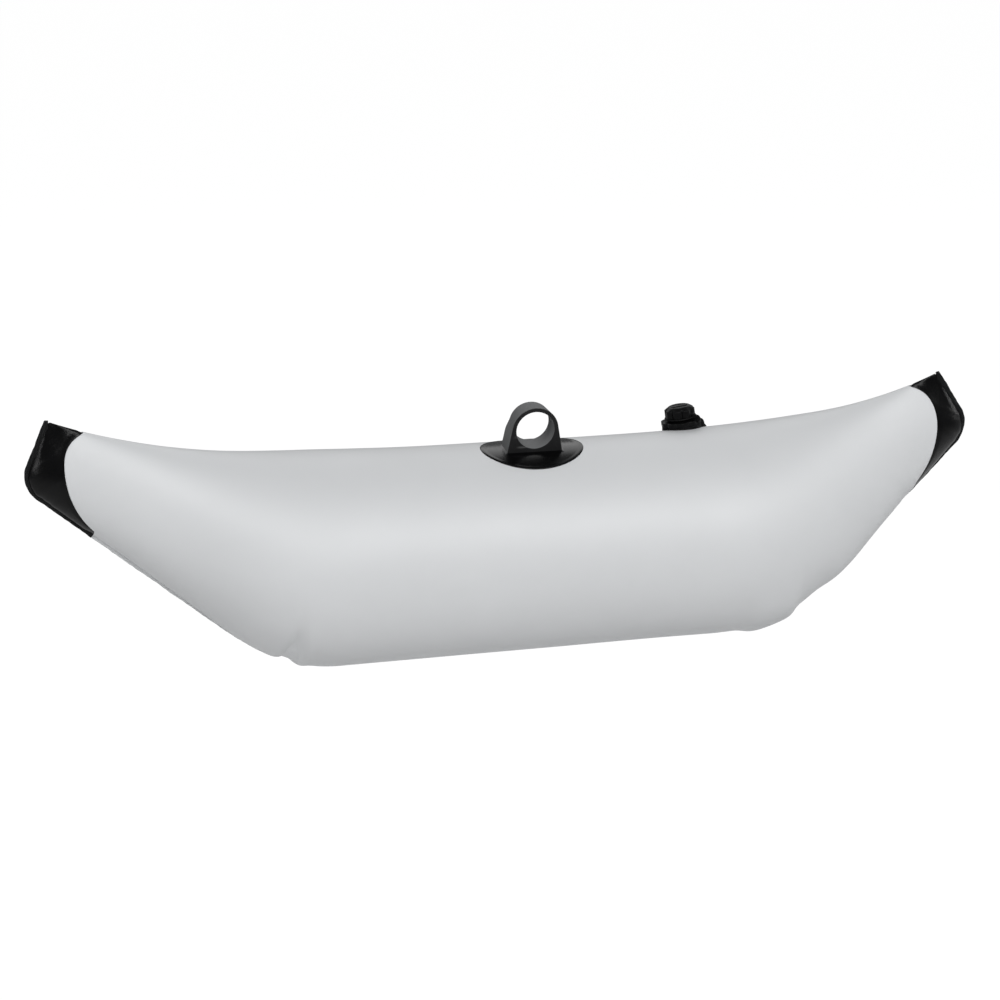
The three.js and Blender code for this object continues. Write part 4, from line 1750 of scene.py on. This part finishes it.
@dataclass
class Valve:
    """The screw valve: base, plug, flap, cap, gaskets, rings and straps.

    Its sizes are in millimetres: radii, and heights in its own frame. A thread is its depth and
    the heights where it starts and stops.
    """

    place: ValvePlace = field(default_factory=ValvePlace)
    bore: float = 15.5
    neck: float = 18.5
    weld_ring: float = 19.4
    neck_top: float = 3.8
    neck_bottom: float = -10.0
    neck_bevel: tuple[float, float] = (0.6, 1.2)
    flange: float = 31.0
    flange_drops: tuple[float, ...] = (-1.4, -1.4, -2.8, -2.8)
    flange_cols: int = 96
    shank: float = 15.0
    plug_foot: float = -6.0
    passage: float = 8.0
    throat: float = 10.15
    throat_top: float = 19.6
    collar: float = 19.7
    collar_seat: float = 17.2
    collar_low: float = 5.6
    collar_high: float = 10.0
    dish_inside: tuple[float, float] = (13.6, 14.2)
    dish_outside: tuple[float, float] = (17.6, 17.9)
    dish_depth: float = 0.5
    collar_lobes: Lobes = Lobes(10, 1.5, 0.16, low=17.2, blend=2.2)
    rib_ends: tuple[float, float] = (14.6, 17.4)
    rib_half: tuple[float, float] = (0.55, 0.35)
    rib_sink: float = 0.3
    web_top: float = -4.0
    web_middle: float = -5.0
    hub: float = 3.2
    spokes: int = 4
    spoke_ends: tuple[float, float] = (2.8, 8.3)
    spoke_half: tuple[float, float] = (1.0, 1.0)
    pitch: float = 3.0
    shank_thread: tuple[float, float, float] = (0.34, -5.2, 4.0)
    throat_thread: tuple[float, float, float] = (0.5, 12.2, 18.9)
    thread_section: tuple[tuple[float, float], ...] = (
        (-0.5, -0.85),
        (1.0, -0.3),
        (1.0, 0.3),
        (-0.5, 0.85),
    )
    thread_round: float = 0.25
    thread_points: int = 4
    thread_sink: float = 0.02
    thread_rows: int = 90
    thread_taper: float = 0.6
    least_taper: float = 0.02
    flap_low: float = -9.3
    flap_high: float = -8.3
    cap: float = 15.0
    cap_top: float = 23.7
    cap_dish: tuple[float, float] = (7.6, 8.3)
    cap_dish_depth: float = 0.7
    cap_rim: float = 10.2
    cap_slope: float = 3.2
    grip_low: float = 13.5
    skirt: float = 12.4
    lip: float = 13.2
    lip_rises: tuple[float, float] = (0.6, 0.9)
    cap_low: float = 10.9
    cap_bore: float = 10.8
    ceiling: float = 21.1
    cap_lobes: Lobes = Lobes(8, 2.4, 0.3, low=10.8, blend=4.2)
    cap_bar_reach: float = 7.4
    cap_bar_half: tuple[float, float] = (1.5, 0.6)
    cap_bar_sink: float = 0.5
    cap_bar_rows: int = 12
    plug_gasket: Band = Band(15.3, 17.0, high=5.3, low=4.1, soften=0.35)
    cap_seal: Band = Band(8.0, 10.5, high=20.8, low=19.9, soften=0.3)
    cap_ring: Band = Band(12.7, 15.6, high=13.2, low=11.8, soften=0.5)
    plug_ring: Band = Band(17.3, 19.2, high=5.2, low=4.1, soften=0.4, fall=0.1)
    cap_strap: Tether = Tether(
        ((14.9, 12.5), (21.4, 13.7), (23.2, 11.0), (16.6, 8.9)),
        rows=40,
        flare=0.25,
        turn=math.radians(-50),
    )
    plug_strap: Tether = Tether(
        ((20.9, -4.3), (20.9, 0.2), (21.8, 5.6), (18.6, 4.6)), rows=36, flare=0.3
    )
    foot_place: tuple[float, float, float] = (20.4, 0.0, -4.4)
    foot_half: tuple[float, float] = (4.1, 4.2)
    foot_cols: int = 72
    foot_shares: tuple[float, ...] = (0.1, 0.4, 0.62, 0.78, 0.9, 1.0, 1.0, 0.98, 0.6, 0.1)
    foot_heights: tuple[float, ...] = (3.4, 3.3, 2.7, 1.9, 1.1, 0.6, 0.3, 0.02, 0.02, 0.02)

    def __post_init__(self) -> None:
        """Sets up a turner at the valve's place."""
        self.turner = Turner(self.place)

    def base(self) -> list[Surface]:
        """The base: a neck welded through the skin, and its flange just under the skin.

        The flange is a flat ring whose four edges follow the tube.

        Returns:
            The two surfaces.
        """
        corners = [
            (self.bore, self.neck_top),
            (self.weld_ring - self.neck_bevel[0], self.neck_top),
            (self.weld_ring, self.neck_top - self.neck_bevel[1]),
            (self.weld_ring, self.neck_bottom),
            (self.bore, self.neck_bottom),
        ]
        middle, turn = self.place.out(np.zeros(3)), turns(self.flange_cols)
        radii = np.array([self.neck, self.flange, self.flange, self.neck])[:, None] * MM
        x = middle[0] + radii * np.cos(turn)
        y = middle[1] + radii * np.sin(turn) * math.cos(self.place.turn)
        lift = np.array(self.flange_drops)[:, None] * MM
        neck = self.turner.piece(corners, soften=0.4)
        return [neck, Surface(self.place.form.top(x, y, lift))]

    def plug(self) -> list[Surface]:
        """The plug: a lobed collar, threaded shank and throat, air passage, and the flap's web.

        Returns:
            Its surfaces.
        """
        top, low, high, foot = self.throat_top, self.collar_low, self.collar_high, self.plug_foot
        body = [
            (self.passage, foot),
            (self.passage, top),
            (self.throat, top),
            (self.throat, high + 0.15),
            (self.dish_inside[0], high + 0.1),
            (self.dish_inside[1], high - self.dish_depth),
            (self.dish_outside[0], high - self.dish_depth),
            (self.dish_outside[1], high),
            (self.collar, high - 0.25),
            (self.collar, low),
            (self.collar_seat, low),
            (self.shank, low + 0.2),
            (self.shank, foot),
        ]
        hub = [(0, self.web_top), (self.hub, self.web_top), (self.hub, foot), (0, foot)]
        spokes = []
        for angle in math.pi / self.spokes + turns(self.spokes):
            ends = [UP * self.web_middle + ray(angle) * reach for reach in self.spoke_ends]
            spokes.append(self.turner.bar(*ends, self.spoke_half))
        return [
            self.turner.piece(body, soften=0.45, lobes=self.collar_lobes),
            self.helix(self.shank, *self.shank_thread),
            self.helix(self.throat, *self.throat_thread),
            self.turner.piece(hub, soften=0.3),
            *spokes,
        ]

    def helix(self, wall: float, depth: float, low: float, high: float) -> Surface:
        """A right-handed thread as one ridge wound on a wall, starting and stopping in a taper.

        At the angle a its section stands at the height low + pitch a / (2 pi).

        Args:
            wall: the wall's radius.
            depth: how far the ridge stands out.
            low: height where it starts.
            high: height where it stops.

        Returns:
            The closed surface.
        """
        count = (high - low) / self.pitch
        angle = np.linspace(0, 2 * math.pi * count, round(count * self.thread_rows))[:, None]
        from_end = np.minimum(angle, angle[-1] - angle)
        taper = np.clip(from_end / self.thread_taper, self.least_taper, 1)
        corners = np.array(self.thread_section) * [depth, 1.0]
        section = rounded(corners, self.thread_round, self.thread_points, closed=True)[None]
        reach = wall - self.thread_sink + section[..., 0] * taper
        height = low + self.pitch * angle / (2 * math.pi) + section[..., 1] * taper
        return Surface.capped(self.place.turned(reach, angle, height))

    def collar_ribs(self) -> list[Surface]:
        """Short raised ribs on the collar's top, one in each of its lobes.

        Returns:
            Their surfaces.
        """
        ribs = []
        for angle in self.collar_lobes.turn + turns(self.collar_lobes.count):
            level = UP * (self.collar_high - self.rib_sink)
            start, stop = (ray(angle) * reach + level for reach in self.rib_ends)
            ribs.append(self.turner.bar(start, stop, self.rib_half))
        return ribs

    def flap(self) -> list[Surface]:
        """The flap: a disc on a stem with a knob above the web.

        Returns:
            Its surface, in a list.
        """
        low, high = self.flap_low, self.flap_high
        knob = [(0, 0), (1.6, 0), (2.4, -0.5), (2.4, -1.2), (1.3, -1.2)]
        disc = [(1.3, high), (11, high), (11, low), (0, low)]
        return [self.turner.piece([*knob, *disc], soften=0.3)]

    def cap_body(self) -> list[Surface]:
        """The cap: a scalloped grip with a dished top, a bar across it, and a skirt with a lip.

        Returns:
            Its surfaces.
        """
        top, low = self.cap_top, self.cap_low
        corners = [
            (0, top - self.cap_dish_depth),
            (self.cap_dish[0], top - self.cap_dish_depth),
            (self.cap_dish[1], top),
            (self.cap_rim, top),
            (self.cap, top - self.cap_slope),
            (self.cap, self.grip_low),
            (self.skirt, self.grip_low),
            (self.skirt, low + self.lip_rises[1]),
            (self.lip, low + self.lip_rises[0]),
            (self.lip, low),
            (self.cap_bore, low),
            (self.cap_bore, self.ceiling),
            (0, self.ceiling),
        ]
        reaches = (-self.cap_bar_reach, self.cap_bar_reach)
        ends = [np.array([reach, 0, top - self.cap_bar_sink]) for reach in reaches]
        bar = self.turner.bar(*ends, self.cap_bar_half, self.cap_bar_rows)
        return [self.turner.piece(corners, soften=0.5, lobes=self.cap_lobes), bar]

    def ring(self, band: Band) -> list[Surface]:
        """A ring or gasket, as a list of its one surface."""
        return [self.turner.piece(band.corners(), band.soften)]

    def swept(self, tether: Tether) -> tuple[Surface, Array, Array]:
        """A strap along its course.

        Args:
            tether: the strap.

        Returns:
            Its surface, and the places of its first and last points in metres.
        """
        out, path = ray(tether.turn), bezier(tether.course, tether.rows)
        line = path[:, :1] * out + path[:, 1:] * UP
        surface = self.turner.strap(line, tether.half, np.cross(UP, out), tether.flare)
        return surface, surface.first_pole, surface.last_pole

    def strap_foot(self) -> Surface:
        """The small round pad that holds the plug's strap on the skin.

        Its rows are ovals over the tube, at a table of shares of the way out and of heights.

        Returns:
            The surface.
        """
        middle, turn = self.place.out(np.array(self.foot_place)), turns(self.foot_cols)
        shares = np.array(self.foot_shares)[:, None]
        x = middle[0] + self.foot_half[0] * MM * shares * np.cos(turn)
        y = middle[1] + self.foot_half[1] * MM * shares * np.sin(turn)
        lift = np.array(self.foot_heights)[:, None] * MM
        return Surface.capped(self.place.form.top(x, y, lift))

    def build(self, wardrobe: Wardrobe) -> None:
        """Makes the valve's pieces and dresses them.

        Args:
            wardrobe: finishes for the pieces.
        """
        plastic, soft, tether = Slot.VALVE_PLASTIC, Slot.SOFT_RUBBER, Slot.TETHER_RUBBER
        plug = [*self.plug(), *self.collar_ribs()]
        pieces = [
            ("valve_neck", plastic, Rider.FLOAT, self.base(), ["valve_base"]),
            ("valve_plug", plastic, Rider.PLUG, plug, ["valve_body"]),
            ("air_flap", soft, Rider.FLAP, self.flap(), ["valve_flap"]),
            ("screw_cap", plastic, Rider.CAP, self.cap_body(), ["valve_cap"]),
            ("plug_gasket", soft, Rider.PLUG, self.ring(self.plug_gasket), ["base_gasket"]),
            ("cap_seal", soft, Rider.CAP, self.ring(self.cap_seal), ["cap_gasket"]),
            ("cap_ring", tether, Rider.CAP_RING, self.ring(self.cap_ring), ["cap_tether_ring"]),
            ("plug_ring", tether, Rider.PLUG_RING, self.ring(self.plug_ring), ["body_tether_ring"]),
            ("strap_foot", tether, Rider.FLOAT, [self.strap_foot()], []),
        ]
        for name, slot, rider, surfaces, nodes in pieces:
            wardrobe.dress(make(name, surfaces), slot, rider, *nodes)
        surface, high, low = self.swept(self.cap_strap)
        strap = wardrobe.dress(make("cap_strap", [surface]), tether, None, "cap_tether")
        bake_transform(strap)
        surface, low, high = self.swept(self.plug_strap)
        strap = wardrobe.dress(make("plug_strap", [surface]), tether, None, "body_tether")
        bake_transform(strap)


# Floor, light and camera


@dataclass(frozen=True)
class Lamp:
    """A soft rectangular lamp: its place and its width and height in metres, and its watts."""

    name: str
    place: tuple[float, float, float]
    size: tuple[float, float]
    power: float

    def hang(self, target: tuple[float, float, float]) -> None:
        """Hangs the lamp.

        Args:
            target: the point that it is aimed at.
        """
        data = bpy.data.lights.new(self.name, "AREA")
        data.shape, data.energy = "RECTANGLE", self.power
        data.size, data.size_y = self.size
        aim = Vector(target) - Vector(self.place)
        turn = aim.to_track_quat("-Z", "Y").to_matrix().to_4x4()
        linked(self.name, data).matrix_world = Matrix.Translation(Vector(self.place)) @ turn


LAMPS = (
    Lamp("front_softbox", (0.3, -2.9, 2.6), (4.6, 1.0), 136),
    Lamp("left_softbox", (-2.65, -0.8, 0.35), (0.3, 1.1), 10),
    Lamp("right_softbox", (2.7, 0.2, 0.35), (0.18, 1.1), 7.5),
    Lamp("back_softbox", (0.3, 3.0, 1.6), (4.0, 1.6), 34),
)


@dataclass
class Studio:
    """A pale floor, soft lamps and the camera of the photograph."""

    azimuth: float = math.radians(13.96)
    elevation: float = math.radians(23.12)
    roll: float = math.radians(1.94)
    distance: float = 2561.5 * MM
    lens: float = 96.05
    sensor: float = 36.0
    clip_end: float = 200.0
    target: tuple[float, float, float] = (-29.46 * MM, 0.0, -74.76 * MM)
    floor_drop: float = 1.1
    floor_half: float = 30.0
    floor_colour: Colour = (0.8, 0.8, 0.8)
    soft_white: float = 0.88
    glow: float = 1.105
    sky: Colour = (0.97, 0.985, 1.0)
    sky_strength: float = 0.2
    white: Colour = (1.0, 1.0, 1.0)

    def camera(self) -> None:
        """Sets the camera: back, right and up from its two angles, then rolled about its axis."""
        a, e = self.azimuth, self.elevation
        back = np.array([-math.sin(a) * math.cos(e), -math.cos(a) * math.cos(e), math.sin(e)])
        right = np.array([math.cos(a), -math.sin(a), 0.0])
        up = np.cross(back, right)
        c, s = math.cos(self.roll), math.sin(self.roll)
        side, top = right * c + up * s, up * c - right * s
        place = np.array(self.target) + back * self.distance
        data = bpy.data.cameras.new("photo_camera")
        data.lens, data.sensor_width, data.clip_end = self.lens, self.sensor, self.clip_end
        camera = linked("photo_camera", data)
        rows = np.column_stack([side, top, back, place])
        camera.matrix_world = Matrix([*rows.tolist(), [0, 0, 0, 1]])
        bpy.context.scene.camera = camera

    def floor_material(self) -> Material:
        """The floor's look: white for the camera, with some plain diffuse that takes the shadow.

        Returns:
            The material.
        """
        material = bpy.data.materials.new("pale_floor")
        sketch = Sketch.fresh(material)
        diffuse = sketch.add("BsdfDiffuse", {"Color": opaque(self.floor_colour)})
        glow = sketch.add("Emission", {"Color": opaque(self.white), "Strength": self.glow})
        camera_ray = sketch.add("LightPath").outputs["Is Camera Ray"]
        seen = sketch.math("MULTIPLY", camera_ray, self.soft_white)
        mixed = sketch.add("MixShader", {0: seen, 1: diffuse.outputs[0], 2: glow.outputs[0]})
        sketch.add("OutputMaterial", {0: mixed.outputs[0]})
        return material

    def floor(self) -> None:
        """A wide flat floor below the float."""
        half, drop = self.floor_half, -self.floor_drop
        mesh = bpy.data.meshes.new("floor")
        signs = ((-1, -1), (1, -1), (1, 1), (-1, 1))
        mesh.from_pydata([(x * half, y * half, drop) for x, y in signs], [], [(0, 1, 2, 3)])
        mesh.materials.append(self.floor_material())
        linked("floor", mesh)

    def world(self) -> None:
        """White where the camera looks past the floor, and a dim grey light on the object."""
        world = bpy.data.worlds.new("studio")
        sketch = Sketch.fresh(world)
        sky = {"Color": opaque(self.sky), "Strength": self.sky_strength}
        dim = sketch.add("Background", sky)
        white = sketch.add("Background", {"Color": opaque(self.white), "Strength": 1.0})
        seen = sketch.add("LightPath").outputs["Is Camera Ray"]
        mixed = sketch.add("MixShader", {0: seen, 1: dim.outputs[0], 2: white.outputs[0]})
        sketch.add("OutputWorld", {0: mixed.outputs[0]})
        bpy.context.scene.world = world

    def build(self) -> None:
        """Sets the camera, the floor, the world and the lamps."""
        self.camera()
        self.floor()
        self.world()
        for lamp in LAMPS:
            lamp.hang(self.target)


def main() -> None:
    """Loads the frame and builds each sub-assembly in order."""
    logging.basicConfig(level=logging.INFO, format="%(name)s: %(message)s")
    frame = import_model()
    LOG.info("frame: %d nodes", len(frame["nodes"]))
    bpy.context.scene.view_settings.view_transform = "Standard"
    form, wardrobe = FloatForm(), Wardrobe()
    Studio().build()
    FloatShell(form).build(wardrobe)
    ArmMount(form).build(wardrobe)
    Valve(ValvePlace(form)).build(wardrobe)


if __name__ == "__main__":
    main()
